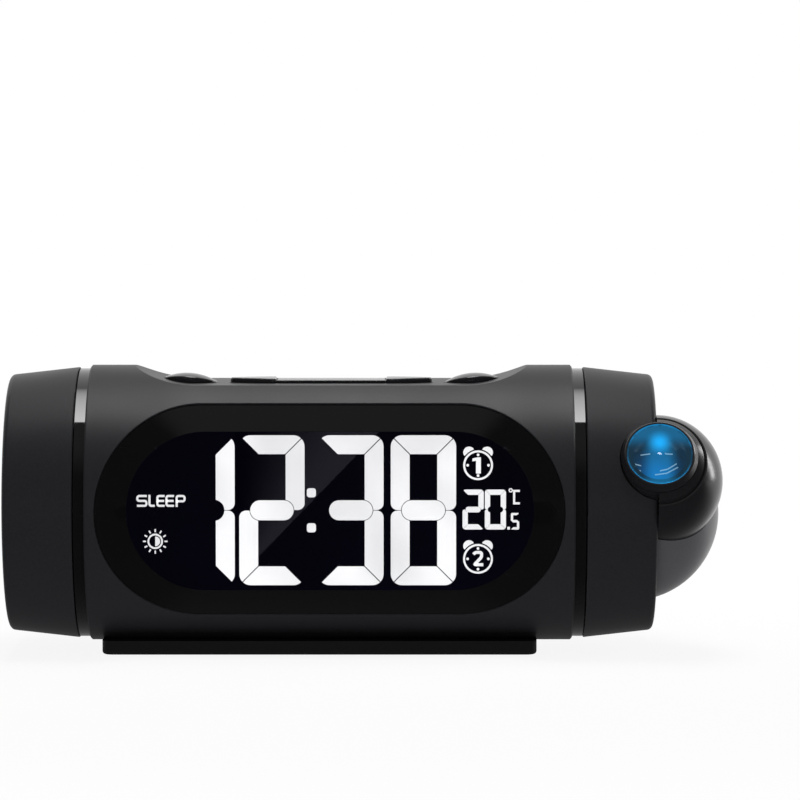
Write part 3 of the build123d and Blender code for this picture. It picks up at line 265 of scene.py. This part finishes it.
def display_glass(name):
    """Liquid crystal glass that blocks its lamp except in the figures: near black, with a trace of
    violet leaking through and the ghost of its fine electrode lines."""
    made, tree, shader, place = material(name, "#07060e", Roughness=0.18, IOR=1.52)
    shader.inputs["Emission Color"].default_value = srgb("#2a2060")
    lines = add(tree, "TexWave", {"Vector": place, "Scale": per(1.2) / (2 * math.pi)},
                bands_direction="X")
    leak = add(tree, "TexNoise", {"Vector": place, "Scale": per(40), "Detail": 1.0})
    tint = add(tree, "Mix", {0: lines.outputs["Fac"], 6: srgb("#07060e"), 7: srgb("#0a0913")},
               data_type="RGBA")
    glow = add(tree, "MapRange", {0: leak.outputs[0], 1: 0.3, 2: 0.7, 3: 0.04, 4: 0.08})
    tree.links.new(tint.outputs[2], shader.inputs["Base Color"])
    tree.links.new(glow.outputs[0], shader.inputs["Emission Strength"])
    return made


def lit_figures(name, power):
    """Figures lit from behind through a diffuser: white, a shade weaker between the lamps."""
    made, tree, shader, place = material(name, "#e9e9ec", Roughness=0.5)
    shader.inputs["Emission Color"].default_value = srgb("#ffffff")
    shade = add(tree, "TexNoise", {"Vector": place, "Scale": per(16), "Detail": 0.0})
    glow = add(tree, "MapRange", {0: shade.outputs[0], 1: 0.35, 2: 0.65, 3: 0.86 * power,
                                  4: power})
    tree.links.new(glow.outputs[0], shader.inputs["Emission Strength"])
    return made


def white_abs(name):
    """Plain white ABS, as moulded: even and slightly waxy."""
    made, tree, shader, place = material(name, "#e4e3df", Roughness=0.42, IOR=1.54)
    cloud = add(tree, "TexNoise", {"Vector": place, "Scale": per(11), "Detail": 3.0})
    tint = add(tree, "Mix", {0: cloud.outputs[0], 6: srgb("#dddcd7"), 7: srgb("#ebeae6")},
               data_type="RGBA")
    tree.links.new(tint.outputs[2], shader.inputs["Base Color"])
    return made


def lamp_chip(name):
    """White light-emitting diode: a pale yellow dot of phosphor in a white cup."""
    made, tree, shader, place = material(name, "#f2e9b8", Roughness=0.35)
    shader.inputs["Emission Color"].default_value = srgb("#fff6dc")
    grit = add(tree, "TexNoise", {"Vector": place, "Scale": per(0.4), "Detail": 1.0})
    power = add(tree, "MapRange", {0: grit.outputs[0], 3: 0.8, 4: 1.2})
    tree.links.new(power.outputs[0], shader.inputs["Emission Strength"])
    return made


def circuit_board(name):
    """Glass-epoxy board under green solder mask: copper runs show as paler lines, 2.5 mm apart."""
    made, tree, shader, place = material(name, "#14502c", Roughness=0.3, IOR=1.5)
    runs = add(tree, "TexBrick", {"Vector": place, "Scale": per(2.5), "Mortar Size": 0.08,
                                  "Color1": srgb("#12492a"), "Color2": srgb("#154f2d"),
                                  "Mortar": srgb("#2b7a45")})
    weave = add(tree, "TexNoise", {"Vector": place, "Scale": per(0.5), "Detail": 1.0})
    bump = add(tree, "Bump", {"Height": weave.outputs[0], "Distance": 0.01 * MM, "Strength": 1.0})
    tree.links.new(runs.outputs["Color"], shader.inputs["Base Color"])
    tree.links.new(bump.outputs[0], shader.inputs["Normal"])
    return made


def plated_steel(name, dark, bright, roughness):
    """Plated steel, barrel-finished: bright, with fine scratches in all directions."""
    made, tree, shader, place = material(name, bright, Metallic=1.0, Roughness=roughness)
    scratch = add(tree, "TexNoise", {"Vector": place, "Scale": per(0.6), "Detail": 4.0,
                                     "Roughness": 0.7})
    tint = add(tree, "Mix", {0: scratch.outputs[0], 6: srgb(dark), 7: srgb(bright)},
               data_type="RGBA")
    gloss = add(tree, "MapRange", {0: scratch.outputs[0], 1: 0.3, 2: 0.7, 3: roughness - 0.1,
                                   4: roughness + 0.1})
    tree.links.new(tint.outputs[2], shader.inputs["Base Color"])
    tree.links.new(gloss.outputs[0], shader.inputs["Roughness"])
    return made


def chip_epoxy(name):
    """Moulding compound of chips and sockets: flat black with a mineral grit."""
    made, tree, shader, place = material(name, "#18181a", Roughness=0.6, IOR=1.55)
    grit = add(tree, "TexVoronoi", {"Vector": place, "Scale": per(0.35)})
    tint = add(tree, "Mix", {0: grit.outputs["Distance"], 6: srgb("#141416"), 7: srgb("#222225")},
               data_type="RGBA")
    tree.links.new(tint.outputs[2], shader.inputs["Base Color"])
    return made


def woven_cloth(name):
    """Speaker cloth, plain-woven from matt black thread 0.5 mm apart."""
    made, tree, shader, place = material(name, "#121214", Roughness=0.9)
    shader.inputs["Sheen Weight"].default_value = 0.3
    heights = [add(tree, "TexWave", {"Vector": place, "Scale": per(0.5) / (2 * math.pi)},
                   bands_direction=axis).outputs["Fac"] for axis in "YZ"]
    weave = add(tree, "Math", {0: heights[0], 1: heights[1]}, operation="MULTIPLY")
    tint = add(tree, "Mix", {0: weave.outputs[0], 6: srgb("#08080a"), 7: srgb("#1f1f23")},
               data_type="RGBA")
    bump = add(tree, "Bump", {"Height": weave.outputs[0], "Distance": 0.1 * MM, "Strength": 1.0})
    tree.links.new(tint.outputs[2], shader.inputs["Base Color"])
    tree.links.new(bump.outputs[0], shader.inputs["Normal"])
    return made


def paper_pulp(name):
    """Pressed paper pulp, dyed grey-black: felted fibres, no gloss."""
    made, tree, shader, place = material(name, "#2b2a2a", Roughness=0.95)
    fibre = add(tree, "TexNoise", {"Vector": place, "Scale": per(1.5), "Detail": 6.0,
                                   "Roughness": 0.75})
    tint = add(tree, "Mix", {0: fibre.outputs[0], 6: srgb("#1d1c1c"), 7: srgb("#3b3938")},
               data_type="RGBA")
    bump = add(tree, "Bump", {"Height": fibre.outputs[0], "Distance": 0.05 * MM, "Strength": 1.0})
    tree.links.new(tint.outputs[2], shader.inputs["Base Color"])
    tree.links.new(bump.outputs[0], shader.inputs["Normal"])
    return made


def ferrite(name):
    """Sintered ferrite, ground on its faces: dark grey stone with a dull shine."""
    made, tree, shader, place = material(name, "#2a2a2d", Roughness=0.5, IOR=1.8)
    stone = add(tree, "TexNoise", {"Vector": place, "Scale": per(2), "Detail": 5.0})
    tint = add(tree, "Mix", {0: stone.outputs[0], 6: srgb("#222225"), 7: srgb("#3a3a3e")},
               data_type="RGBA")
    tree.links.new(tint.outputs[2], shader.inputs["Base Color"])
    return made


def lit_film(name):
    """Film in the beam: near black, with the lamp's blue spreading through it from the middle."""
    made, tree, shader, place = material(name, "#04060c", Roughness=0.25, IOR=1.52)
    low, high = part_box("time_film")
    middle = (low + high) / 2
    centred = add(tree, "Mapping", {"Vector": place, "Location": -middle})
    away = add(tree, "VectorMath", {0: centred.outputs[0]}, operation="LENGTH")
    glow = add(tree, "MapRange", {0: away.outputs["Value"], 1: 0.0, 2: (high.x - low.x) / 2,
                                  3: 0.5, 4: 0.05},
               interpolation_type="SMOOTHSTEP")
    shader.inputs["Emission Color"].default_value = srgb("#0a8fe6")
    tree.links.new(glow.outputs[0], shader.inputs["Emission Strength"])
    return made


def blue_lamp(name):
    """Clear epoxy dome of a lit blue diode."""
    made, tree, shader, place = material(name, "#0d5f9e", Roughness=0.15, IOR=1.5)
    shader.inputs["Emission Color"].default_value = srgb("#2aa4ff")
    fire = add(tree, "TexNoise", {"Vector": place, "Scale": per(1.5), "Detail": 0.0})
    power = add(tree, "MapRange", {0: fire.outputs[0], 3: 8.0, 4: 14.0})
    tree.links.new(power.outputs[0], shader.inputs["Emission Strength"])
    return made


def clear_acrylic(name, colour):
    """Moulded optical acrylic: water-clear, with faint flow lines."""
    made, tree, shader, place = material(name, colour, Roughness=0.0, IOR=1.49,
                                         Transmission_Weight=1.0)
    flow = add(tree, "TexNoise", {"Vector": place, "Scale": per(5), "Detail": 1.0})
    gloss = add(tree, "MapRange", {0: flow.outputs[0], 1: 0.4, 2: 0.7, 3: 0.0, 4: 0.04})
    tree.links.new(gloss.outputs[0], shader.inputs["Roughness"])
    return made


def projector_glass(name):
    """Front lens with the beam leaving it: clear acrylic with a painted blue glow, brightest above
    the middle, dark teal towards the sides, and with a painted pale highlight ring along its edge."""
    made, tree, shader, place = material(name, "#9fc3d6", Roughness=0.0, IOR=1.49,
                                         Transmission_Weight=1.0)
    low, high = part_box("projector_lens")
    from_middle = add(tree, "VectorMath", {0: place, 1: (low + high) / 2}, operation="SUBTRACT")
    across = add(tree, "SeparateXYZ", {0: from_middle.outputs[0]})
    side = add(tree, "Math", {0: across.outputs["X"]}, operation="ABSOLUTE")
    rise = add(tree, "VectorMath", {0: from_middle.outputs[0], 1: LENS_UP},
               operation="DOT_PRODUCT")
    # Painted glow, though the lens is no lamp: a hot spot above its middle, and a column that
    # fades to the sides and grows upwards
    painted_hot_spot = LENS_UP * PAINTED_GLOW_RISE * MM
    from_painted_hot_spot = add(tree, "VectorMath", {0: from_middle.outputs[0], 1: painted_hot_spot}, operation="DISTANCE")
    column = add(tree, "MapRange", {0: side.outputs[0], 1: PAINTED_GLOW_SIDE[0] * MM,
                                    2: PAINTED_GLOW_SIDE[1] * MM, 3: 0.2, 4: 0.0},
                 interpolation_type="SMOOTHSTEP")
    top = add(tree, "MapRange", {0: rise.outputs["Value"], 1: PAINTED_GLOW_TOP[0] * MM,
                                 2: PAINTED_GLOW_TOP[1] * MM, 3: 0.0, 4: 0.2},
              interpolation_type="SMOOTHSTEP")
    beam = add(tree, "Math", {0: column.outputs[0], 1: top.outputs[0]}, operation="MAXIMUM")
    painted_glow_core = add(tree, "MapRange", {0: from_painted_hot_spot.outputs["Value"], 1: 0.0, 2: PAINTED_GLOW_CORE_R * MM,
                                  3: 0.5, 4: 0.0},
               interpolation_type="SMOOTHSTEP")
    lit = add(tree, "Math", {0: beam.outputs[0], 1: painted_glow_core.outputs[0]}, operation="ADD")
    # Painted highlight: a pale glowing ring just inside the lens's rim
    along = add(tree, "VectorMath", {0: from_middle.outputs[0], 1: LENS_AXIS},
                operation="CROSS_PRODUCT")
    from_axis = add(tree, "VectorMath", {0: along.outputs[0]}, operation="LENGTH")
    lens_r = (high.x - low.x) / 2
    edge = add(tree, "MapRange", {0: from_axis.outputs["Value"], 1: lens_r - PAINTED_EDGE_HIGHLIGHT[0] * MM,
                                  2: lens_r - PAINTED_EDGE_HIGHLIGHT[1] * MM, 3: 0.0, 4: 0.1})
    strength = add(tree, "Math", {0: lit.outputs[0], 1: edge.outputs[0]}, operation="ADD")
    glow = add(tree, "Math", {0: strength.outputs[0], 1: 0.05}, operation="ADD")
    hue = add(tree, "Mix", {0: strength.outputs[0], 6: srgb("#1a7fae"), 7: srgb("#0fb0ff")},
              data_type="RGBA")
    tree.links.new(hue.outputs[2], shader.inputs["Emission Color"])
    tree.links.new(glow.outputs[0], shader.inputs["Emission Strength"])
    return made


def black_rubber(name):
    """Foam rubber pad: dead black, with fine open pores."""
    made, tree, shader, place = material(name, "#131314", Roughness=0.85, IOR=1.5)
    pores = add(tree, "TexVoronoi", {"Vector": place, "Scale": per(0.8)})
    tint = add(tree, "Mix", {0: pores.outputs["Distance"], 6: srgb("#0a0a0b"), 7: srgb("#1c1c1e")},
               data_type="RGBA")
    bump = add(tree, "Bump", {"Height": pores.outputs["Distance"], "Distance": 0.08 * MM,
                              "Strength": 1.0})
    tree.links.new(tint.outputs[2], shader.inputs["Base Color"])
    tree.links.new(bump.outputs[0], shader.inputs["Normal"])
    return made


def cell_jacket(name):
    """Shrunk plastic jacket of a cell: smooth green, with fine pulled wrinkles."""
    made, tree, shader, place = material(name, "#2e6f4c", Roughness=0.25, IOR=1.5)
    pull = add(tree, "TexNoise", {"Vector": place, "Scale": per(3), "Detail": 2.0})
    tint = add(tree, "Mix", {0: pull.outputs[0], 6: srgb("#28654a"), 7: srgb("#357a55")},
               data_type="RGBA")
    bump = add(tree, "Bump", {"Height": pull.outputs[0], "Distance": 0.02 * MM, "Strength": 1.0})
    tree.links.new(tint.outputs[2], shader.inputs["Base Color"])
    tree.links.new(bump.outputs[0], shader.inputs["Normal"])
    return made


finishes = {
    "satin_black_abs": textured_abs("spark_eroded_black_abs", "#1a1a1c", "#232326", 0.41,
                                    level=0.17),
    "gloss_black_abs": polished_abs("mirror_polished_black_abs", "#0b0b0c"),
    "smoked_acrylic": smoked_acrylic("smoked_cast_acrylic"),
    "lcd_glass": display_glass("dark_liquid_crystal_glass"),
    "lit_white": lit_figures("lit_white_figures", 2.5),
    "white_abs": white_abs("natural_white_abs"),
    "led_white": lamp_chip("white_diode_phosphor"),
    "circuit_board": circuit_board("green_solder_mask_board"),
    "zinc_steel": plated_steel("zinc_plated_steel", "#8d9095", "#c2c5c9", 0.35),
    "chip_epoxy": chip_epoxy("black_moulding_compound"),
    "tin_can": plated_steel("tinned_sheet_steel", "#9c9d9e", "#cbccca", 0.3),
    "key_abs": textured_abs("smooth_black_key_abs", "#1a1a1c", "#232325", 0.17, grain=0.4,
                            relief=0.002),
    "grille_cloth": woven_cloth("woven_speaker_cloth"),
    "paper_cone": paper_pulp("pressed_paper_pulp"),
    "ferrite": ferrite("ground_ferrite"),
    "dome_grey_abs": textured_abs("satin_grey_abs", "#404043", "#4a4a4d", 0.3, relief=0.003,
                                  level=0.45),
    "ball_black_abs": textured_abs("smooth_black_abs", "#121214", "#18181a", 0.22, relief=0.002),
    "led_blue": blue_lamp("lit_blue_diode"),
    "clear_acrylic": clear_acrylic("clear_optical_acrylic", "#f4f8ff"),
    "lens_acrylic": projector_glass("painted_blue_glow_lens_acrylic"),
    "base_black_abs": textured_abs("matt_black_base_abs", "#0d0d0e", "#131314", 0.5, level=0.2),
    "black_rubber": black_rubber("black_foam_rubber"),
    "cell_jacket": cell_jacket("green_cell_jacket"),
    "nickel_steel": plated_steel("nickel_plated_steel", "#a09a8f", "#cfc9bd", 0.25),
}
film_finish = lit_film("blue_lit_film")
film_figures = lit_figures("dim_film_figures", 0.55)
for node in nodes.values():
    for held in node.material_slots:
        held.material = finishes[held.material.name]
nodes["time_film"].material_slots[0].material = film_finish

# ---------------------------------------------------------------- the display's marks
TOP, LOW = SLEEP_TOP, SLEEP_BOTTOM
MIDDLE = (TOP + LOW) / 2
LETTERS = (
    ((-48.5, TOP), (-51.0, TOP), (-51.0, MIDDLE), (-48.6, MIDDLE), (-48.6, LOW), (-51.1, LOW)),
    ((-47.8, TOP + 0.3), (-47.8, LOW), (-46.4, LOW)),
    ((-43.8, TOP), (-45.7, TOP), (-45.7, LOW), (-43.8, LOW)),
    ((-45.7, MIDDLE), (-43.9, MIDDLE)),
    ((-41.3, TOP), (-43.3, TOP), (-43.3, LOW), (-41.3, LOW)),
    ((-43.3, MIDDLE), (-41.4, MIDDLE)),
    ((-40.6, LOW - 0.3), (-40.6, TOP), (-38.5, TOP), (-38.5, MIDDLE - 0.1), (-40.6, MIDDLE - 0.1)),
)
lit_mark("sleep_word", [
    drawn(SLEEP_STROKE, lambda bm, points=points: line(bm, points, LETTER_CORNER_R))
    for points in LETTERS])


def ray(bm, angle):
    """One of the sun's rays."""
    way = Vector((math.cos(angle), math.sin(angle)))
    line(bm, [Vector(SUN_AT) + way * r for r in (RAY_START, RAY_END)])


def half_core(bm):
    """The lit right half of the sun's disc."""
    circle(bm, SUN_AT, SUN_CORE_R, filled=True)
    bmesh.ops.bisect_plane(bm, geom=bm.verts[:] + bm.edges[:] + bm.faces[:],
                           plane_co=(SUN_AT[0], 0, 0), plane_no=(-1, 0, 0), clear_outer=True)


lit_mark("dimmer_sun", [
    drawn(SUN_STROKE, lambda bm: circle(bm, SUN_AT, SUN_R)),
    cut_out(half_core),
    *(drawn(RAY_W, lambda bm, i=i: ray(bm, 2 * math.pi * i / RAY_COUNT))
      for i in range(RAY_COUNT)),
])


def bell(bm, centre, side):
    """The bell on one side of an alarm clock: a half round that follows the ring below it."""
    lean = math.radians(90 - side * BELL_ANGLE)
    top = Vector(centre) + BELL_AT * Vector((math.cos(lean), math.sin(lean)))
    outer = [top + BELL_R * Vector((math.cos(lean + a), math.sin(lean + a)))
             for a in [math.radians(d) for d in range(-80, 81, 16)]]
    inner = [Vector(centre) + BELL_GAP_R * Vector((math.cos(lean + a), math.sin(lean + a)))
             for a in [math.radians(d) for d in range(20, -21, -8)]]
    line(bm, outer + inner, closed=True)


# The numerals, from their alarm's middle: 1 as an outline, 2 as a line
ONE = ((-0.55, -2.2), (0.75, -2.2), (0.75, 2.1), (-0.15, 2.1), (-1.5, 1.8), (-1.5, 1.05),
       (-0.55, 1.2))
TWO = ((-1.2, 1.2), (-0.75, 1.72), (0.95, 1.72), (0.95, 0.45), (-1.0, -1.55), (1.4, -1.55))
for number, centre in enumerate(ALARM_AT, 1):
    x, z = centre
    if number == 1:
        numeral = cut_out(lambda bm: line(bm, [(x + a, z + b) for a, b in ONE], closed=True))
    else:
        numeral = drawn(NUMERAL_STROKE, lambda bm: line(bm, [(x + a, z + b) for a, b in TWO],
                                                        NUMERAL_CORNER_R))
    lit_mark(f"alarm_{number}_mark", [
        numeral,
        drawn(ALARM_STROKE, lambda bm: circle(bm, centre, ALARM_R, segments=48)),
        cut_out(lambda bm: bell(bm, centre, 1)),
        cut_out(lambda bm: bell(bm, centre, -1)),
        *(cut_out(lambda bm, a=a, b=b: circle(bm, (x + a, z + b), TICK_R, filled=True,
                                              segments=16))
          for a, b in ((TICK_AT, 0), (-TICK_AT, 0), (0, TICK_AT), (0, -TICK_AT))),
    ])

lit_mark("degrees_mark", [
    drawn(DEGREE_STROKE, lambda bm: circle(bm, DEGREE_AT, DEGREE_R, segments=16)),
    drawn(C_STROKE, lambda bm: line(bm, ((50.2, 5.15), (48.7, 5.15), (48.7, 1.85), (50.2, 1.85)))),
])
a = POINT_SIDE / 2
x, z = POINT_AT
lit_mark("decimal_point", [
    cut_out(lambda bm: line(bm, ((x - a, z - a), (x + a, z - a), (x + a, z + a), (x - a, z + a)),
                            closed=True))])

# The black border printed round the back of the window: it hides the glass's edge
window = nodes["display_window"]
bm = bmesh.new()
bm.from_mesh(window.data)
bmesh.ops.remove_doubles(bm, verts=bm.verts[:], dist=1e-7)
back = max(v.co.y for v in bm.verts)
bmesh.ops.delete(bm, geom=[f for f in bm.faces if any(v.co.y < back - 1e-6 for v in f.verts)],
                 context="FACES")
bmesh.ops.dissolve_limit(bm, angle_limit=0.001, verts=bm.verts[:], edges=bm.edges[:])
band = bmesh.ops.inset_region(bm, faces=bm.faces[:], thickness=BORDER_W * MM, use_even_offset=True,
                              use_boundary=True)["faces"]
bmesh.ops.delete(bm, geom=[f for f in bm.faces if f not in set(band)], context="FACES")
deepened(bm, bmesh.ops.extrude_face_region(bm, geom=bm.faces[:])["geom"], BORDER_DEPTH * MM)
bmesh.ops.recalc_face_normals(bm, faces=bm.faces[:])
piece("window_border", bm, "clock", "lcd_glass")

# ---------------------------------------------------------------- the projector's film
film_low, film_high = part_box("time_film")
face = (film_low + film_high) / 2 + LENS_AXIS * FILM_T / 2 * MM
bm = bmesh.new()
for points in FILM_STROKES:
    part = drawn(FILM_STROKE, lambda bm: line(bm, points))
    bm.from_mesh(part)
    bpy.data.meshes.remove(part)
for v in bm.verts:
    x, depth, z = v.co
    v.co = (face + Vector((x * MM, 0, 0)) + LENS_UP * z * MM
            + LENS_AXIS * (1 - depth) * FIGURE_DEPTH * MM)
bmesh.ops.recalc_face_normals(bm, faces=bm.faces[:])
piece("film_figures", bm, "turret", "lit_white").data.materials[0] = film_figures

# ---------------------------------------------------------------- floor, light and camera
FLOOR_R = 6.0
FLAG_LEVEL = 0.02                      # what gloss sees of the black flag that stands in front
FLAG_EDGE, FLAG_FADE = -0.05, 0.15     # its edge on the floor, and how softly it ends
FLAG_SIDE = (-0.05, 0.5)               # in the room it ends between these Y parts of a direction
CEILING_LEVEL = 0.2                    # what gloss sees of the room's ceiling
CEILING_RISE = (0.4, 0.85)             # it comes in between these Z parts of a direction
ROOM_LEVEL, BOUNCE_LEVEL = 0.3, 0.95   # what the room and the floor throw on the object
SHADOW_R, WHITE_R = 0.1, 0.42          # the floor turns white between these radii
SHADOW_WHITE = 0.9                     # how white it is within the first


def shown(tree, lit, seen, mirrored):
    """Mixes what lights the object with the white that the camera and glass see, and with what
    its gloss mirrors."""
    rays = add(tree, "LightPath").outputs
    near = add(tree, "Math", {0: rays["Is Camera Ray"], 1: rays["Is Transmission Ray"]},
               operation="MAXIMUM")
    white = add(tree, "MixShader", {0: near.outputs[0], 1: lit.outputs[0], 2: seen.outputs[0]})
    return add(tree, "MixShader", {0: rays["Is Glossy Ray"], 1: white.outputs[0],
                                   2: mirrored.outputs[0]})


room = bpy.data.worlds.new("room")
bpy.context.scene.world = room
tree = cleared(room)
way = add(tree, "SeparateXYZ", {0: add(tree, "TexCoord").outputs["Generated"]})
depth = add(tree, "MapRange", {0: way.outputs["Y"], 1: FLAG_SIDE[0], 2: FLAG_SIDE[1],
                              3: FLAG_LEVEL, 4: 1.0},
            interpolation_type="SMOOTHSTEP")
ceiling = add(tree, "MapRange", {0: way.outputs["Z"], 1: CEILING_RISE[0], 2: CEILING_RISE[1],
                                 3: FLAG_LEVEL, 4: CEILING_LEVEL},
              interpolation_type="SMOOTHSTEP")
level = add(tree, "Math", {0: depth.outputs[0], 1: ceiling.outputs[0]}, operation="MAXIMUM")
mixed = shown(tree, add(tree, "Background", {"Color": srgb("#ffffff"), "Strength": ROOM_LEVEL}),
              add(tree, "Background", {"Color": srgb("#ffffff"), "Strength": 1.0}),
              add(tree, "Background", {"Color": srgb("#ffffff"), "Strength": level.outputs[0]}))
add(tree, "OutputWorld", {"Surface": mixed.outputs[0]})

bm = bmesh.new()
bmesh.ops.create_circle(bm, cap_ends=True, radius=FLOOR_R, segments=96)
floor = placed("floor", bm)
paper = bpy.data.materials.new("white_paper_sweep")
tree = cleared(paper)
place = add(tree, "TexCoord").outputs["Object"]
away = add(tree, "VectorMath", {0: place}, operation="LENGTH")
fade = add(tree, "MapRange", {0: away.outputs["Value"], 1: SHADOW_R, 2: WHITE_R,
                              3: SHADOW_WHITE, 4: 1.0},
           interpolation_type="SMOOTHSTEP")
matt = add(tree, "BsdfDiffuse", {"Color": srgb("#f2f2f2")})
white = add(tree, "Emission", {"Color": srgb("#ffffff"), "Strength": 1.0})
glow = add(tree, "MixShader", {0: fade.outputs[0], 1: matt.outputs[0], 2: white.outputs[0]})
depth = add(tree, "SeparateXYZ", {0: place})
bright = add(tree, "MapRange", {0: depth.outputs["Y"], 1: FLAG_EDGE, 2: FLAG_EDGE + FLAG_FADE,
                                3: FLAG_LEVEL, 4: 1.0},
             interpolation_type="SMOOTHSTEP")
black = add(tree, "Emission", {"Color": srgb("#000000"), "Strength": 0.0})
flagged = add(tree, "MixShader", {0: bright.outputs[0], 1: black.outputs[0], 2: glow.outputs[0]})
bounce = add(tree, "Emission", {"Color": srgb("#ffffff"), "Strength": BOUNCE_LEVEL})
mixed = shown(tree, bounce, glow, flagged)
add(tree, "OutputMaterial", {"Surface": mixed.outputs[0]})
floor.data.materials.append(paper)


def softbox(name, at, turn, size, energy, spread=180.0, mirrored=True):
    """A rectangular lamp. mirrored says whether gloss and clear pieces show it."""
    lamp = bpy.data.lights.new(name, "AREA")
    lamp.shape = "RECTANGLE"
    lamp.size, lamp.size_y = size
    lamp.spread = math.radians(spread)
    lamp.energy = energy
    made = bpy.data.objects.new(name, lamp)
    bpy.context.scene.collection.objects.link(made)
    made.location = at
    made.rotation_euler = [math.radians(a) for a in turn]
    made.visible_glossy = made.visible_transmission = mirrored


# Place and size in metres, turns and spread in degrees, power in watts
softbox("overhead_softbox", (0.0, 0.19, 1.0), (15.5, 0, 0), (0.36, 0.85), 2.85, spread=90)
softbox("right_strip", (0.8, 0.27, 0.3), (78, 0, 108), (0.14, 0.5), 2.0)
softbox("low_fill", (0.0, -0.6, 0.05), (90, 0, 0), (0.5, 0.06), 1.4, mirrored=False)

# A dim card in front, on the floor, that the window mirrors as a slanted glare: its corners are
# where lines from the camera, mirrored in the window, meet the floor.
CARD_NEAR = (-0.0343, -0.0275, -0.292)  # X of its left and right corner, and their Y
CARD_FAR = (-0.0555, 0.0094, -0.896)
CARD_Z, CARD_GLOW = 0.002, 0.45
bm = bmesh.new()
bm.loops.layers.uv.new("across")
bmesh.ops.create_grid(bm, x_segments=6, y_segments=6, size=0.5, calc_uvs=True)
for v in bm.verts:
    u, w = v.co.x + 0.5, v.co.y + 0.5
    near_x = CARD_NEAR[0] + u * (CARD_NEAR[1] - CARD_NEAR[0])
    far_x = CARD_FAR[0] + u * (CARD_FAR[1] - CARD_FAR[0])
    y = CARD_NEAR[2] + w * (CARD_FAR[2] - CARD_NEAR[2])
    v.co = (near_x + w * (far_x - near_x), y, CARD_Z)
card = placed("glare_card", bm)
for rays in ("camera", "diffuse", "shadow", "transmission"):
    setattr(card, f"visible_{rays}", False)
grey = bpy.data.materials.new("dim_card")
tree = cleared(grey)
across = add(tree, "SeparateXYZ", {0: add(tree, "UVMap", uv_map="across").outputs[0]})
fade_in = add(tree, "MapRange", {0: across.outputs["X"], 1: 0.0, 2: 0.9, 3: 0.0, 4: CARD_GLOW},
              interpolation_type="SMOOTHSTEP")
add(tree, "OutputMaterial", {"Surface": add(tree, "Emission", {
    "Color": srgb("#dcdcf2"), "Strength": fade_in.outputs[0]}).outputs[0]})
card.data.materials.append(grey)

CAMERA_AIM = Vector((0.0185, 0, 0.0673))
CAMERA_DISTANCE, CAMERA_ELEVATION = 1.276, math.radians(3.5)
CAMERA_LENS = 212.7
camera = bpy.data.cameras.new("camera")
camera.lens = CAMERA_LENS
camera.sensor_width = 36.0
camera.clip_start = 0.01
camera.clip_end = 50.0
eye = bpy.data.objects.new("camera", camera)
bpy.context.scene.collection.objects.link(eye)
away = Vector((0, -math.cos(CAMERA_ELEVATION), math.sin(CAMERA_ELEVATION)))
eye.location = CAMERA_AIM + CAMERA_DISTANCE * away
eye.rotation_euler = (-away).to_track_quat("-Z", "Y").to_euler()
bpy.context.scene.camera = eye
bpy.context.scene.view_settings.view_transform = "Standard"
